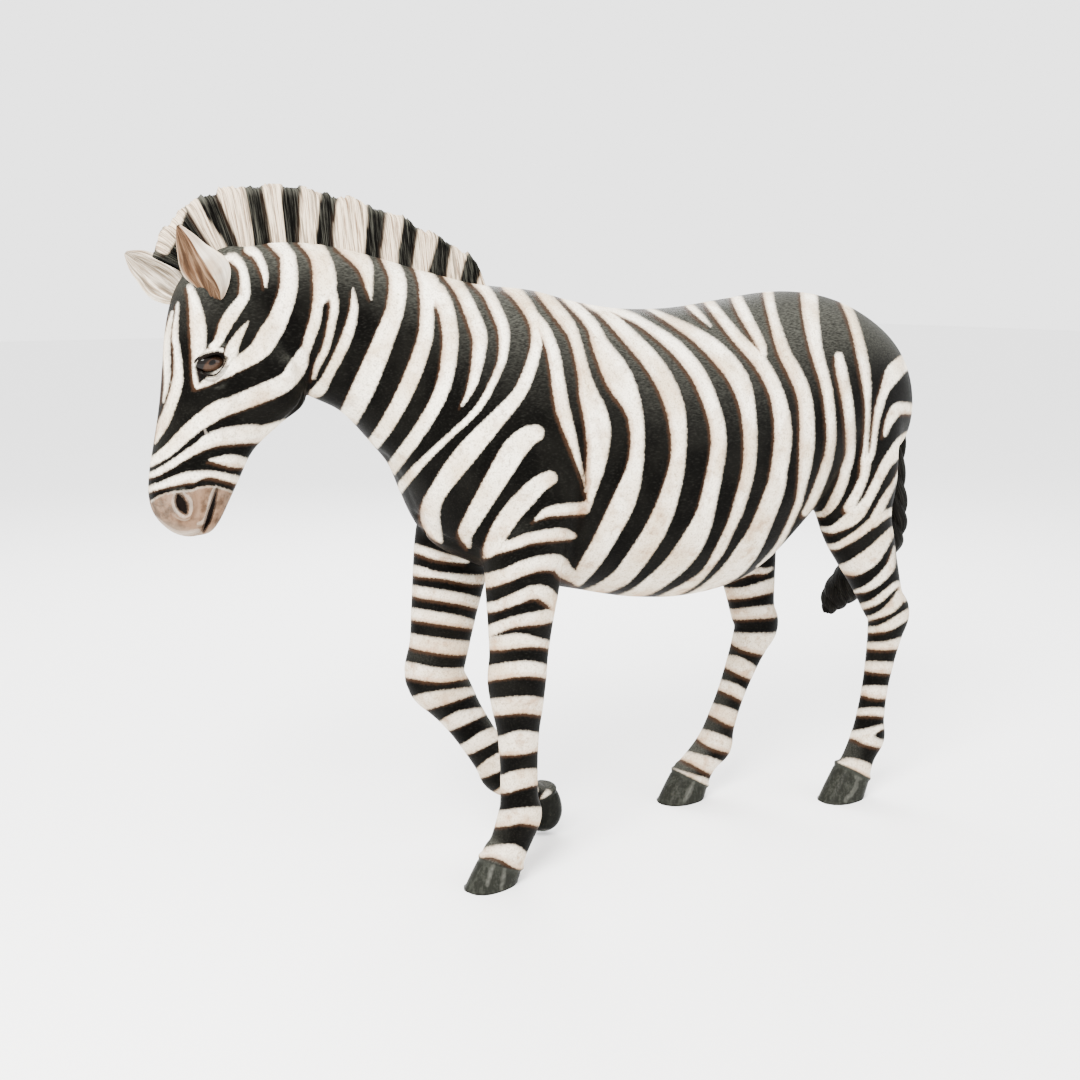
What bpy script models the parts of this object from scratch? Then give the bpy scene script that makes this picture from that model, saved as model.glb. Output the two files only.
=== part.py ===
"""A life-size walking zebra, cast in fiberglass as one piece, standing on its own hooves.

The zebra faces -X and its left side is -Y. The tables below are in steps, and so are all
lengths in the functions that make the forms. A step is a fixed share of the height at the
withers, a hundredth of a metre at full size, so the figure keeps its proportions when that
height changes.
"""
import math

import bmesh
import bpy
import numpy as np
from mathutils import Matrix, Vector

# Driving dimensions, in metres
WITHERS_HEIGHT = 1.32
STEPS_TO_WITHERS = 132
STEP = WITHERS_HEIGHT / STEPS_TO_WITHERS
TRUNK_WIDTH = 0.50
LEG_SPREAD = 0.21
HOOF_LENGTH = 0.118
HOOF_WIDTH = 0.094
EAR_LENGTH = 0.148
MANE_THICKNESS = 0.042
MANE_LOCKS = 25
TAIL_THICKNESS = 0.056
TAIL_STRANDS = 3
TAIL_TURNS = 5
EYE_DIAMETER = 0.034

# How finely the surface is made
SKIN_CELL = 0.006
TRIANGLES = 9400
SIDES = 64

# Trunk and neck, rump to poll: top x, top z, under x, under z, half width, widest level
BODY = [
    (72.1, 106.0, 72.6, 97.0, 4.5, 0.50),
    (70.4, 113.0, 71.6, 91.0, 8.7, 0.50),
    (66.4, 118.3, 68.2, 88.0, 12.5, 0.50),
    (60.0, 123.0, 62.0, 86.0, 16.4, 0.52),
    (51.5, 127.2, 52.5, 83.0, 19.4, 0.54),
    (42.0, 129.8, 42.5, 80.5, 21.6, 0.54),
    (31.0, 130.3, 32.0, 71.3, 23.3, 0.51),
    (17.0, 128.6, 18.0, 61.6, 24.6, 0.47),
    (2.0, 126.8, 3.0, 59.1, 25.0, 0.45),
    (-13.0, 126.7, -12.0, 60.4, 24.6, 0.45),
    (-26.0, 128.4, -25.0, 63.4, 23.4, 0.45),
    (-37.0, 130.9, -37.0, 66.5, 21.4, 0.44),
    (-45.0, 131.7, -49.0, 71.0, 19.6, 0.42),
    (-51.5, 132.4, -59.8, 76.6, 18.0, 0.42),
    (-58.0, 133.8, -64.6, 84.0, 15.8, 0.43),
    (-65.5, 135.6, -68.5, 92.7, 13.2, 0.45),
    (-73.0, 137.6, -74.4, 99.8, 11.2, 0.47),
    (-81.0, 139.4, -80.6, 106.3, 9.8, 0.50),
    (-89.5, 140.6, -88.0, 110.1, 9.0, 0.50),
    (-97.0, 140.4, -95.5, 114.5, 8.8, 0.50),
    (-103.0, 138.8, -101.0, 119.0, 8.0, 0.50),
]

# Head, poll to muzzle: front x, front z, back x, back z, half width, widest level
HEAD = [
    (-105.0, 139.8, -100.0, 139.3, 3.0, 0.50),
    (-109.5, 137.0, -97.0, 133.5, 6.0, 0.50),
    (-113.8, 131.5, -93.5, 126.0, 8.6, 0.55),
    (-115.9, 124.5, -90.8, 117.5, 9.8, 0.60),
    (-117.0, 117.0, -89.6, 109.5, 9.5, 0.55),
    (-118.0, 110.0, -95.2, 105.0, 8.2, 0.50),
    (-119.4, 103.0, -100.6, 100.2, 6.7, 0.55),
    (-120.8, 96.5, -103.6, 94.7, 5.8, 0.55),
    (-121.0, 91.5, -106.1, 90.1, 5.9, 0.55),
    (-119.9, 88.0, -107.8, 87.1, 5.6, 0.50),
    (-117.4, 85.2, -109.7, 84.8, 4.4, 0.50),
    (-115.2, 84.1, -112.2, 84.1, 2.2, 0.50),
]

# Joints of each leg, trunk to coronet: x, outward offset from half the spread, z
LEGS = {
    "left_fore": [
        (-41.0, 1.5, 88.0), (-45.7, 2.5, 77.0), (-46.6, 0.9, 47.5), (-44.2, -2.4, 15.5), (-47.3, -3.0, 7.0),
    ],
    "right_fore": [
        (-41.8, 1.5, 88.0), (-48.2, 2.8, 78.0), (-54.5, 2.2, 44.0), (-37.8, 1.0, 18.0), (-27.9, 1.2, 11.3),
    ],
    "left_hind": [
        (48.6, 1.5, 90.0), (49.0, 2.3, 76.0), (62.7, 1.0, 48.7), (60.6, -2.0, 15.6), (57.0, -2.5, 7.0),
    ],
    "right_hind": [
        (43.0, 1.5, 90.0), (34.4, 2.6, 73.5), (38.8, 1.6, 44.0), (26.4, 2.0, 13.5), (20.6, 2.4, 7.0),
    ],
}
LEG_GIRTH = {"left_fore": 1.0, "right_fore": 1.06, "left_hind": 0.97, "right_hind": 1.03}

# Sections of a leg: place along its joints, reach ahead, reach behind, half width
FORE_PROFILE = [
    (-0.5, 2.0, 2.0, 1.5),
    (-0.4, 6.0, 6.5, 4.5),
    (0.0, 9.0, 10.0, 6.8),
    (0.5, 9.4, 10.5, 7.2),
    (1.0, 9.2, 9.8, 7.0),
    (1.3, 8.5, 8.6, 6.6),
    (1.55, 7.5, 7.4, 6.2),
    (1.8, 6.6, 6.6, 5.8),
    (2.0, 6.7, 6.4, 6.0),
    (2.2, 5.8, 5.6, 5.3),
    (2.4, 4.7, 4.7, 4.3),
    (2.65, 4.3, 4.3, 3.9),
    (2.88, 4.4, 4.3, 4.1),
    (3.0, 4.9, 5.2, 4.5),
    (3.5, 4.5, 5.1, 4.2),
    (4.0, 4.3, 4.5, 4.3),
]
HIND_PROFILE = [
    (-0.9, 3.0, 3.0, 2.0),
    (-0.75, 8.0, 8.0, 4.5),
    (-0.3, 13.0, 13.0, 7.4),
    (0.3, 13.6, 13.2, 8.4),
    (1.0, 10.6, 10.8, 7.8),
    (1.3, 9.0, 8.6, 6.9),
    (1.6, 7.0, 7.0, 5.8),
    (1.85, 6.0, 6.0, 5.0),
    (2.0, 5.4, 7.0, 4.8),
    (2.15, 4.2, 5.7, 4.2),
    (2.35, 3.6, 4.4, 3.7),
    (2.6, 3.4, 3.7, 3.3),
    (2.85, 3.7, 4.1, 3.6),
    (3.0, 4.2, 5.4, 4.2),
    (3.5, 4.2, 4.3, 4.0),
    (4.0, 4.5, 4.5, 4.3),
]

# Sections of a hoof, coronet to sole, and how it leans: share down, share long, share wide
HOOF_STANDING = [
    (-0.05, 0.82, 0.88),
    (0.0, 0.85, 0.92),
    (0.3, 0.92, 0.96),
    (0.65, 0.99, 1.0),
    (1.0, 1.03, 1.03),
]
HOOF_RAISED = [
    (-0.08, 0.66, 0.80),
    (0.02, 0.80, 0.90),
    (0.35, 0.92, 0.97),
    (0.7, 0.85, 0.92),
    (0.93, 0.55, 0.7),
    (1.03, 0.3, 0.4),
]
STANDING_LEAN = -0.50
HOOF_TURN = {"left_fore": 20, "right_fore": 0, "left_hind": 0, "right_hind": 0}
RAISED_LEAN = 0.30
RAISED_DEPTH = 10.1
RAISED_ABOVE = 10
FOLDED_FETLOCK = 0.42
FETLOCK_PLACE = 2.9
SOLE_ALLOWANCE = 4.6
TOE_SHARE = 0.54

# Muscles that stand out on both sides: centre, radii, pitch and lean in degrees
MUSCLES = [
    ((-43.0, 11.0, 98.0), (13.0, 8.6, 25.0), 14, 0),
    ((-38.0, 12.0, 86.0), (12.0, 8.0, 14.0), 0, 0),
    ((-54.0, 7.0, 92.0), (10.0, 9.0, 13.0), 10, 0),
    ((47.0, 10.5, 100.0), (17.0, 9.5, 23.0), 0, 0),
]

# Top of the mane, and the crest of the neck under it: x, z
MANE_TOP = [
    (-118.4, 137.2), (-116.7, 141.4), (-113.0, 145.5), (-108.2, 148.6), (-102.5, 150.3),
    (-97.0, 151.0), (-90.5, 151.1), (-84.6, 150.0), (-78.2, 149.1), (-71.7, 147.1),
    (-65.1, 144.8), (-58.3, 141.6), (-52.8, 138.9), (-49.3, 135.7),
]
MANE_ROOT = [
    (-111.5, 134.0), (-110.0, 135.5), (-107.5, 137.0), (-104.5, 138.0), (-101.0, 138.5),
    (-96.0, 139.0), (-90.0, 139.2), (-84.0, 138.5), (-77.5, 137.3), (-71.0, 135.6),
    (-64.5, 133.9), (-58.0, 132.3), (-52.0, 131.3), (-47.5, 130.5),
]

# Sections of a lock of the mane: share of its height, share long, share thick
LOCK_SECTIONS = [(-0.35, 1.0, 1.25), (0.0, 1.0, 1.0), (0.5, 1.0, 0.8), (0.85, 0.9, 0.62), (1.0, 0.45, 0.35)]
LOCK_OVERLAP = 1.44
LOCK_DROP = 0.4

# Sections of an ear, root to tip: place along it, half width, reach towards its opening,
# reach behind, how deep its opening is dished
EAR_SECTIONS = [
    (-0.04, 1.0, 0.6, 1.4, 0.0),
    (0.03, 2.0, 1.0, 2.6, 0.0),
    (0.10, 2.9, 1.4, 3.6, 0.6),
    (0.22, 3.9, 2.3, 4.8, 2.2),
    (0.37, 4.5, 3.3, 4.9, 3.9),
    (0.52, 4.2, 3.1, 3.8, 4.0),
    (0.65, 3.4, 2.5, 2.6, 3.3),
    (0.80, 2.6, 1.6, 1.7, 2.2),
    (0.91, 1.6, 0.9, 1.0, 1.0),
    (1.00, 0.5, 0.3, 0.4, 0.0),
]

# Lips of the dished opening: cosine of their turn from its middle
LIP_TURN = 0.66

# Root, tip and opening side of the ears
EARS = [
    ((-108.7, -7.5, 130.0), (-116.0, -9.5, 142.6), (-1.0, -0.3, -0.4)),
    ((-109.8, 7.1, 129.8), (-119.5, 14.8, 138.3), (-0.62, -0.75, -0.05)),
]

# Tail from the dock to its tip: x, y, z, thickness as a share
TAIL = [
    (69.0, 0.0, 115.0, 1.0),
    (73.0, 0.0, 109.5, 1.0),
    (74.6, 0.0, 98.0, 0.9),
    (74.9, 0.0, 84.0, 0.95),
    (75.7, 0.5, 71.0, 1.25),
    (73.0, 2.5, 62.5, 1.75),
    (68.0, 5.5, 55.4, 1.9),
    (63.8, 7.5, 50.0, 1.5),
    (61.0, 8.5, 45.4, 0.45),
]

# How far a strand of the tail lies off its middle, and how thick it is, as shares of the half
STRAND_OFFSET = 0.45
STRAND_THICKNESS = 0.62
CORE_THICKNESS = 0.8

# Middle of the right eye, mirrored for the left one, and its reach as shares of its half height
EYE = (-110.6, 8.4, 117.5)
EYE_SHAPE = (1.15, 0.8, 1.0)

# Folds and features pressed into the skin on both sides, or raised where the depth is
# negative: path, reach either side of it, depth
FEATURES = [
    ([(-111.0, 8.8, 117.8)], 3.6, 0.5),
    ([(-113.3, 7.6, 116.2), (-111.6, 8.9, 119.3), (-109.0, 9.6, 120.2), (-107.2, 9.7, 118.8)], 1.3, -0.5),
    ([(-112.8, 7.8, 115.2), (-110.6, 9.0, 115.4), (-108.4, 9.5, 116.6)], 1.1, -0.35),
    ([(-117.6, 5.6, 93.4), (-116.4, 5.7, 89.4)], 2.3, -0.35),
    ([(-117.6, 5.6, 93.0), (-116.5, 5.7, 89.6)], 1.1, 1.3),
    ([(-108.9, 5.5, 94.0), (-110.7, 5.4, 90.0), (-111.9, 4.0, 86.0), (-112.6, -3.0, 84.0)], 0.9, 0.7),
    ([(-92.5, 8.6, 122.5), (-90.4, 8.0, 117.5), (-89.2, 6.0, 113.0), (-90.3, 4.0, 107.5)], 1.8, 0.7),
    ([(-97.5, 9.2, 115.0)], 9.0, -0.7),
    ([(-107.8, 9.4, 113.5), (-111.8, 7.6, 105.0)], 2.2, -0.4),
    ([(-35.9, 21.7, 97.0), (-36.6, 21.0, 87.0), (-36.9, 18.8, 78.5), (-35.5, 13.0, 69.0)], 3.0, 0.9),
    ([(-65.0, -3.0, 84.0), (-61.0, 5.0, 79.0), (-54.0, 11.0, 75.5)], 2.4, 0.8),
    ([(-73.0, 0.0, 99.0), (-68.5, 0.0, 88.0), (-64.0, 0.0, 79.0)], 3.0, 0.4),
    ([(32.0, 22.8, 90.0), (38.5, 20.5, 79.0), (43.0, 15.0, 70.0)], 3.0, 0.9),
]

# Where the forms flow into each other: centre, radius, rounds of smoothing
JUNCTIONS = [
    ((-46.0, 0.0, 90.0), 38.0, 50),
    ((50.0, 0.0, 94.0), 38.0, 50),
    ((-97.0, 0.0, 131.0), 15.0, 40),
    ((72.0, 0.0, 110.0), 8.0, 10),
]
ROUNDS_ALL_OVER = 2

# Where more of the triangles are kept: share kept, x from and to, z from and to
DETAIL = [
    (0.5, -200.0, 200.0, -5.0, 20.0),
    (0.6, -200.0, -45.0, 130.0, 200.0),
    (0.9, -200.0, -86.0, 0.0, 200.0),
]

# Colour of the painted coat
COAT_COLOUR = (0.42, 0.38, 0.33, 1.0)
COAT_ROUGHNESS = 0.42


def smooth_rows(rows, steps):
    """More rows between the given ones, on a smooth curve through them."""
    rows = np.array(rows, float)
    ends = np.vstack([2 * rows[0] - rows[1], rows, 2 * rows[-1] - rows[-2]])
    made = []
    for before, start, stop, after in zip(ends, ends[1:], ends[2:], ends[3:]):
        for share in np.arange(steps) / steps:
            slope = (stop - before) / 2
            end_slope = (after - start) / 2
            rise = stop - start
            made.append(
                start + slope * share
                + (3 * rise - 2 * slope - end_slope) * share ** 2
                + (slope + end_slope - 2 * rise) * share ** 3
            )
    made.append(rows[-1])
    return np.array(made)


def ring(centre, front, side, ahead, behind, half, power=2.0, dish=0.0):
    """One closed section: an oval with its own reach ahead, behind and to the sides, dished ahead."""
    points = []
    for i in range(SIDES):
        turn = 2 * math.pi * i / SIDES
        along, across = math.cos(turn), math.sin(turn)
        reach = ahead if along > 0 else behind
        u = math.copysign(abs(along) ** (2 / power), along) * reach
        u -= dish * max(0.0, (along - LIP_TURN) / (1 - LIP_TURN))
        v = math.copysign(abs(across) ** (2 / power), across) * half
        points.append(centre + front * u + side * v)
    return points


def skin(shells, rings):
    """A closed shell over a row of rings, with a rounded end at each end."""
    rows = [[shells.verts.new(point) for point in points] for points in rings]
    for row, following in zip(rows, rows[1:]):
        for i in range(SIDES):
            j = (i + 1) % SIDES
            shells.faces.new((row[i], row[j], following[j], following[i]))
    for row, backwards in ((rows[0], True), (rows[-1], False)):
        tip = shells.verts.new(sum((v.co for v in row), Vector()) / SIDES)
        for i in range(SIDES):
            pair = (row[i], row[(i + 1) % SIDES])
            shells.faces.new((pair[1], pair[0], tip) if backwards else (pair[0], pair[1], tip))


def stations(shells, rows, power=2.0, widen=1.0):
    """A form given by its outline in side view: front point, back point, half width, level."""
    rings = []
    for fx, fz, bx, bz, half, level in smooth_rows(rows, 4):
        front_point = Vector((fx, 0, fz))
        back_point = Vector((bx, 0, bz))
        depth = (front_point - back_point).length
        front = (front_point - back_point) / depth
        centre = back_point + front * depth * level
        ahead = depth * (1 - level)
        rings.append(ring(centre, front, Vector((0, 1, 0)), ahead, depth - ahead, half * widen, power))
    skin(shells, rings)


def tube(shells, rows, power=2.0, side=(0, 1, 0)):
    """A form swept along a line: x, y, z, reach ahead, reach behind, half width, and any dish."""
    rows = smooth_rows(rows, 4)
    centres = rows[:, :3]
    slopes = np.gradient(centres, axis=0)
    rings = []
    for (x, y, z, ahead, behind, half, *dish), slope in zip(rows, slopes):
        along = Vector(slope).normalized()
        across = Vector(side) - along * along.dot(Vector(side))
        across.normalize()
        front = across.cross(along)
        rings.append(ring(Vector((x, y, z)), front, across, ahead, behind, half, power, *dish))
    skin(shells, rings)


def mass(shells, centre, radii, pitch=0.0, lean=0.0):
    """A rounded muscle: a ball stretched to its radii, pitched about Y and leant about X."""
    place = (
        Matrix.Translation(centre)
        @ Matrix.Rotation(math.radians(pitch), 4, "Y")
        @ Matrix.Rotation(math.radians(lean), 4, "X")
        @ Matrix.Diagonal((*radii, 1))
    )
    bmesh.ops.create_icosphere(shells, subdivisions=4, radius=1, matrix=place)


def add_leg(shells, name):
    """One leg, with the fore or hind profile laid along its own joints, and its hoof."""
    sign = 1 if name.startswith("right") else -1
    spread = LEG_SPREAD / 2 / STEP
    joints = [Vector((x, sign * (spread + y), z)) for x, y, z in LEGS[name]]
    profile = FORE_PROFILE if name.endswith("fore") else HIND_PROFILE
    rows = []
    for place, ahead, behind, half in profile:
        bone = min(int(place), len(joints) - 2)
        centre = joints[bone].lerp(joints[bone + 1], place - bone)
        if joints[-1].z > RAISED_ABOVE and place > FETLOCK_PLACE:
            behind *= FOLDED_FETLOCK
        rows.append((*centre, *[reach * LEG_GIRTH[name] for reach in (ahead, behind, half)]))
    tube(shells, rows)
    add_hoof(shells, name, joints[-1])


def add_hoof(shells, name, coronet):
    """A hoof below the coronet, widening to its sole; it hangs from the fold of a raised leg."""
    turn = math.radians(HOOF_TURN[name])
    length = HOOF_LENGTH / STEP
    width = HOOF_WIDTH / STEP
    raised = coronet.z > RAISED_ABOVE
    down = Vector((RAISED_LEAN if raised else STANDING_LEAN, 0, -1)).normalized()
    depth = RAISED_DEPTH if raised else coronet.z + SOLE_ALLOWANCE
    rows = []
    for share, long_share, wide_share in HOOF_RAISED if raised else HOOF_STANDING:
        centre = coronet + down * depth * share
        toe = length * long_share * TOE_SHARE
        rows.append((*centre, toe, length * long_share - toe, width / 2 * wide_share))
    tube(shells, rows, power=2.2, side=(-math.sin(turn), math.cos(turn), 0))


def add_mane(shells):
    """The upright mane: overlapping locks from the crest of the neck to its stepped top."""
    tops = smooth_rows(MANE_TOP, 8)
    roots = smooth_rows(MANE_ROOT, 8)
    half = MANE_THICKNESS / 2 / STEP
    reach = np.linalg.norm(tops[-1] - tops[0]) / MANE_LOCKS * LOCK_OVERLAP / 2
    for i in range(MANE_LOCKS):
        place = i / (MANE_LOCKS - 1) * (len(tops) - 1)
        row = min(int(place), len(tops) - 2)
        top = tops[row] + (tops[row + 1] - tops[row]) * (place - row)
        root = roots[row] + (roots[row + 1] - roots[row]) * (place - row)
        drop = LOCK_DROP * math.sin(i * 2.4)
        rows = []
        for share, wide, thick in LOCK_SECTIONS:
            x, z = root + (top - root) * share
            rows.append((x, 0, z - max(share, 0) * drop, reach * wide, reach * wide, half * thick))
        tube(shells, rows, power=2.4)


def add_ear(shells, root, tip, hollow):
    """A leaf-shaped ear from root to tip, rounded behind; hollow is the way it opens."""
    root = Vector(root)
    tip = root + (Vector(tip) - root).normalized() * (EAR_LENGTH / STEP)
    axis = (tip - root).normalized()
    across = axis.cross(Vector(hollow)).normalized()
    rows = []
    for share, wide, open_side, back, dish in EAR_SECTIONS:
        rows.append((*(root + axis * (tip - root).length * share), open_side, back, wide, dish))
    tube(shells, rows, side=across)


def add_tail(shells):
    """The tail: a core with strands twisted round it, ending in a pointed lock."""
    half = TAIL_THICKNESS / 2 / STEP
    line = smooth_rows(TAIL, 6)
    tube(shells, [(x, y, z, *[half * share * CORE_THICKNESS] * 3) for x, y, z, share in TAIL])
    for strand in range(TAIL_STRANDS):
        rows = []
        for i, (x, y, z, share) in enumerate(line):
            turn = 2 * math.pi * (strand / TAIL_STRANDS + TAIL_TURNS * i / len(line))
            off = half * share * STRAND_OFFSET
            thick = half * share * STRAND_THICKNESS
            rows.append((x + off * math.cos(turn), y + off * math.sin(turn), z, thick, thick, thick))
        tube(shells, rows)


def make_shells():
    """Every form of the figure as closed shells that run into each other."""
    shells = bmesh.new()
    stations(shells, BODY, power=2.15, widen=TRUNK_WIDTH / STEP / 50)
    stations(shells, HEAD, power=2.4)
    for centre, radii, pitch, lean in MUSCLES:
        for sign in (-1, 1):
            x, y, z = centre
            mass(shells, Vector((x, sign * y, z)), radii, pitch, sign * lean)
    for name in LEGS:
        add_leg(shells, name)
    add_mane(shells)
    for root, tip, hollow in EARS:
        add_ear(shells, root, tip, hollow)
    add_tail(shells)
    for sign in (-1, 1):
        half = EYE_DIAMETER / 2 / STEP
        mass(shells, Vector((EYE[0], sign * EYE[1], EYE[2])), [half * share for share in EYE_SHAPE])
    bmesh.ops.scale(shells, vec=(STEP, STEP, STEP), verts=shells.verts)
    bmesh.ops.recalc_face_normals(shells, faces=shells.faces)
    mesh = bpy.data.meshes.new("shells")
    shells.to_mesh(mesh)
    shells.free()
    return mesh


def applied(mesh, kind, **settings):
    """The mesh after one modifier."""
    helper = bpy.data.objects.new("helper", mesh)
    bpy.context.collection.objects.link(helper)
    modifier = helper.modifiers.new(kind, kind)
    for key, value in settings.items():
        setattr(modifier, key, value)
    graph = bpy.context.evaluated_depsgraph_get()
    made = bpy.data.meshes.new_from_object(helper.evaluated_get(graph))
    bpy.data.objects.remove(helper)
    return made


def relax(points, edges, weight, rounds):
    """Draw each point towards the middle of its neighbours, as far as its weight says."""
    count = np.bincount(edges.ravel(), minlength=len(points))
    for _ in range(round(rounds)):
        total = np.zeros_like(points)
        for axis in range(3):
            total[:, axis] = np.bincount(edges[:, 0], points[edges[:, 1], axis], len(points))
            total[:, axis] += np.bincount(edges[:, 1], points[edges[:, 0], axis], len(points))
        points += weight[:, None] * 0.5 * (total / count[:, None] - points)


def brush(points, path, reach):
    """How strongly a stroke along a path works on each point, fading out at its two ends."""
    if len(path) == 1:
        away = np.linalg.norm(points - path[0], axis=1)
        return np.clip(1 - (away / reach) ** 2, 0, 1) ** 2
    strength = np.zeros(len(points))
    for i, (start, stop) in enumerate(zip(path, path[1:])):
        run = stop - start
        share = np.clip((points - start) @ run / (run @ run), 0, 1)
        away = np.linalg.norm(points - start - share[:, None] * run, axis=1)
        fade = np.clip(np.sin(np.pi * (i + share) / (len(path) - 1)) * 2, 0, 1)
        strength = np.maximum(strength, fade * np.clip(1 - (away / reach) ** 2, 0, 1) ** 2)
    return strength


def press_features(points, normals):
    """Press the folds and raise the lids, rims and cheeks, on both sides alike."""
    for path, reach, depth in FEATURES:
        rows = smooth_rows(path, 4) if len(path) > 1 else np.array(path)
        both = [brush(points, rows * (STEP, sign * STEP, STEP), reach * STEP) for sign in (-1, 1)]
        points -= normals * (depth * STEP * np.maximum(*both))[:, None]


def soften(mesh):
    """Blend the shells into one skin, most where the forms flow into each other."""
    points = np.empty(len(mesh.vertices) * 3)
    mesh.vertices.foreach_get("co", points)
    points = points.reshape(-1, 3)
    edges = np.empty(len(mesh.edges) * 2, int)
    mesh.edges.foreach_get("vertices", edges)
    edges = edges.reshape(-1, 2)
    relax(points, edges, np.ones(len(points)), ROUNDS_ALL_OVER)
    for centre, radius, rounds in JUNCTIONS:
        away = np.linalg.norm(points - np.array(centre) * STEP, axis=1) / (radius * STEP)
        relax(points, edges, np.clip(1.6 * (1 - away), 0, 1), rounds)
    mesh.vertices.foreach_set("co", points.ravel())
    mesh.update()
    normals = np.empty(len(points) * 3)
    mesh.vertex_normals.foreach_get("vector", normals)
    press_features(points, normals.reshape(-1, 3))
    mesh.vertices.foreach_set("co", points.ravel())
    mesh.update()


def simplify(mesh):
    """Fewer triangles, with more of them kept on the head, the mane and the feet."""
    helper = bpy.data.objects.new("helper", mesh)
    bpy.context.collection.objects.link(helper)
    kept = helper.vertex_groups.new(name="kept")
    for vertex in mesh.vertices:
        x, z = vertex.co.x / STEP, vertex.co.z / STEP
        for share, back, front, low, high in DETAIL:
            if back < x < front and low < z < high:
                kept.add([vertex.index], share, "REPLACE")
    mesh.calc_loop_triangles()
    decimate = helper.modifiers.new("fewer", "DECIMATE")
    decimate.ratio = TRIANGLES / len(mesh.loop_triangles)
    decimate.vertex_group = "kept"
    decimate.invert_vertex_group = True
    decimate.vertex_group_factor = 0.001
    graph = bpy.context.evaluated_depsgraph_get()
    made = bpy.data.meshes.new_from_object(helper.evaluated_get(graph))
    bpy.data.objects.remove(helper)
    return made


def stand_flat(mesh):
    """Cut the soles off level with the ground and close them."""
    figure = bmesh.new()
    figure.from_mesh(mesh)
    everything = figure.verts[:] + figure.edges[:] + figure.faces[:]
    bmesh.ops.bisect_plane(figure, geom=everything, plane_co=(0, 0, 0), plane_no=(0, 0, -1), clear_outer=True)
    rims = [edge for edge in figure.edges if edge.is_boundary]
    bmesh.ops.holes_fill(figure, edges=rims, sides=0)
    low = Vector(min(v.co[i] for v in figure.verts) for i in range(3))
    high = Vector(max(v.co[i] for v in figure.verts) for i in range(3))
    middle = (low + high) / 2
    bmesh.ops.translate(figure, vec=(-middle.x, -middle.y, -low.z), verts=figure.verts)
    bmesh.ops.triangulate(figure, faces=figure.faces)
    figure.to_mesh(mesh)
    figure.free()


def coat_material():
    """The mean colour of the painted coat, with a satin sheen."""
    coat = bpy.data.materials.new("painted_coat")
    coat.use_nodes = True
    shader = coat.node_tree.nodes["Principled BSDF"]
    shader.inputs["Base Color"].default_value = COAT_COLOUR
    shader.inputs["Roughness"].default_value = COAT_ROUGHNESS
    shader.inputs["Metallic"].default_value = 0.0
    return coat


def main():
    for item in list(bpy.data.objects):
        bpy.data.objects.remove(item)
    mesh = applied(make_shells(), "REMESH", mode="VOXEL", voxel_size=SKIN_CELL)
    soften(mesh)
    mesh = simplify(mesh)
    stand_flat(mesh)
    mesh.materials.append(coat_material())
    mesh.shade_smooth()
    zebra = bpy.data.objects.new("zebra", mesh)
    bpy.context.collection.objects.link(zebra)


main()
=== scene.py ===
"""Looks of the life-size walking zebra cast in fiberglass: skin, mane, tail, ears, eyes and paint.

The zebra faces -X and its left side is -Y. As in the tables of its solid, lengths are in steps
of a hundredth of a metre, and the stripes are strokes given in pixels of a 1080 pixel square
view from the camera that is set up below.
"""
import math
import bmesh
import bpy
import numpy as np
from mathutils import Matrix, Vector


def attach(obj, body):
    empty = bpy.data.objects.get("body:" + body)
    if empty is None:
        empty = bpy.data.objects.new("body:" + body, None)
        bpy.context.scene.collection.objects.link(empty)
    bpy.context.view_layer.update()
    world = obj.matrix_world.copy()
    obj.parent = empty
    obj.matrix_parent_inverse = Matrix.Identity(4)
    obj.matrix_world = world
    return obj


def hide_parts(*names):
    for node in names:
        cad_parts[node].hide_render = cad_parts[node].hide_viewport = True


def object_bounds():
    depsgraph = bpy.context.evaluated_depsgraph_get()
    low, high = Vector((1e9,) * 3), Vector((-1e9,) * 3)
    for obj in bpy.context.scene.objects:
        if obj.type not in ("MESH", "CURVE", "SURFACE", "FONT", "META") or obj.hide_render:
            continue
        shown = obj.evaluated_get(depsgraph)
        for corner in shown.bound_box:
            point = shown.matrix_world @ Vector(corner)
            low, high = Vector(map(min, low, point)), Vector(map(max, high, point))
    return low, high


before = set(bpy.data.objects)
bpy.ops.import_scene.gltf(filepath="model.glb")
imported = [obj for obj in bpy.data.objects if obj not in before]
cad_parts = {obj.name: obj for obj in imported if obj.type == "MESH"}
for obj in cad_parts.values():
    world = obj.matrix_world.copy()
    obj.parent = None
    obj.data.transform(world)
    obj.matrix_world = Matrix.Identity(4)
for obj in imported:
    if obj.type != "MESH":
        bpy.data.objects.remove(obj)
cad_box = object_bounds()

STEP = 0.01
MIDDLE = 20.75

# Camera, in metres and degrees
CAMERA_PLACE = (-1.7275, -2.654, 1.33)
CAMERA_TURN = -31.0
CAMERA_PITCH = 10.52
CAMERA_LENS = 46.67
CAMERA_SENSOR = 36.0
FRAME = 1080

# How finely the pieces are made
SKIN_CELL = 0.0051
SIDES = 64
ROW_STEPS = 4
ROUNDS_FINER = 1.86

# Sizes shared with the solid, in metres
TRUNK_WIDTH = 0.50
LEG_SPREAD = 0.21
HOOF_LENGTH = 0.118
HOOF_WIDTH = 0.094
EAR_LENGTH = 0.148
MANE_THICKNESS = 0.042
MANE_LOCKS = 25
TAIL_THICKNESS = 0.056
TAIL_STRANDS = 3
TAIL_TURNS = 5

# Rounds of smoothing of the skin, and more of the head once it is refined
SKIN_ROUNDS = 4
HEAD_ROUNDS = 4
FINE_ROUNDS = 3
SKIN_NAMES = ("skin_head", "skin_legs", "skin_fore", "skin_rear")

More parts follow.
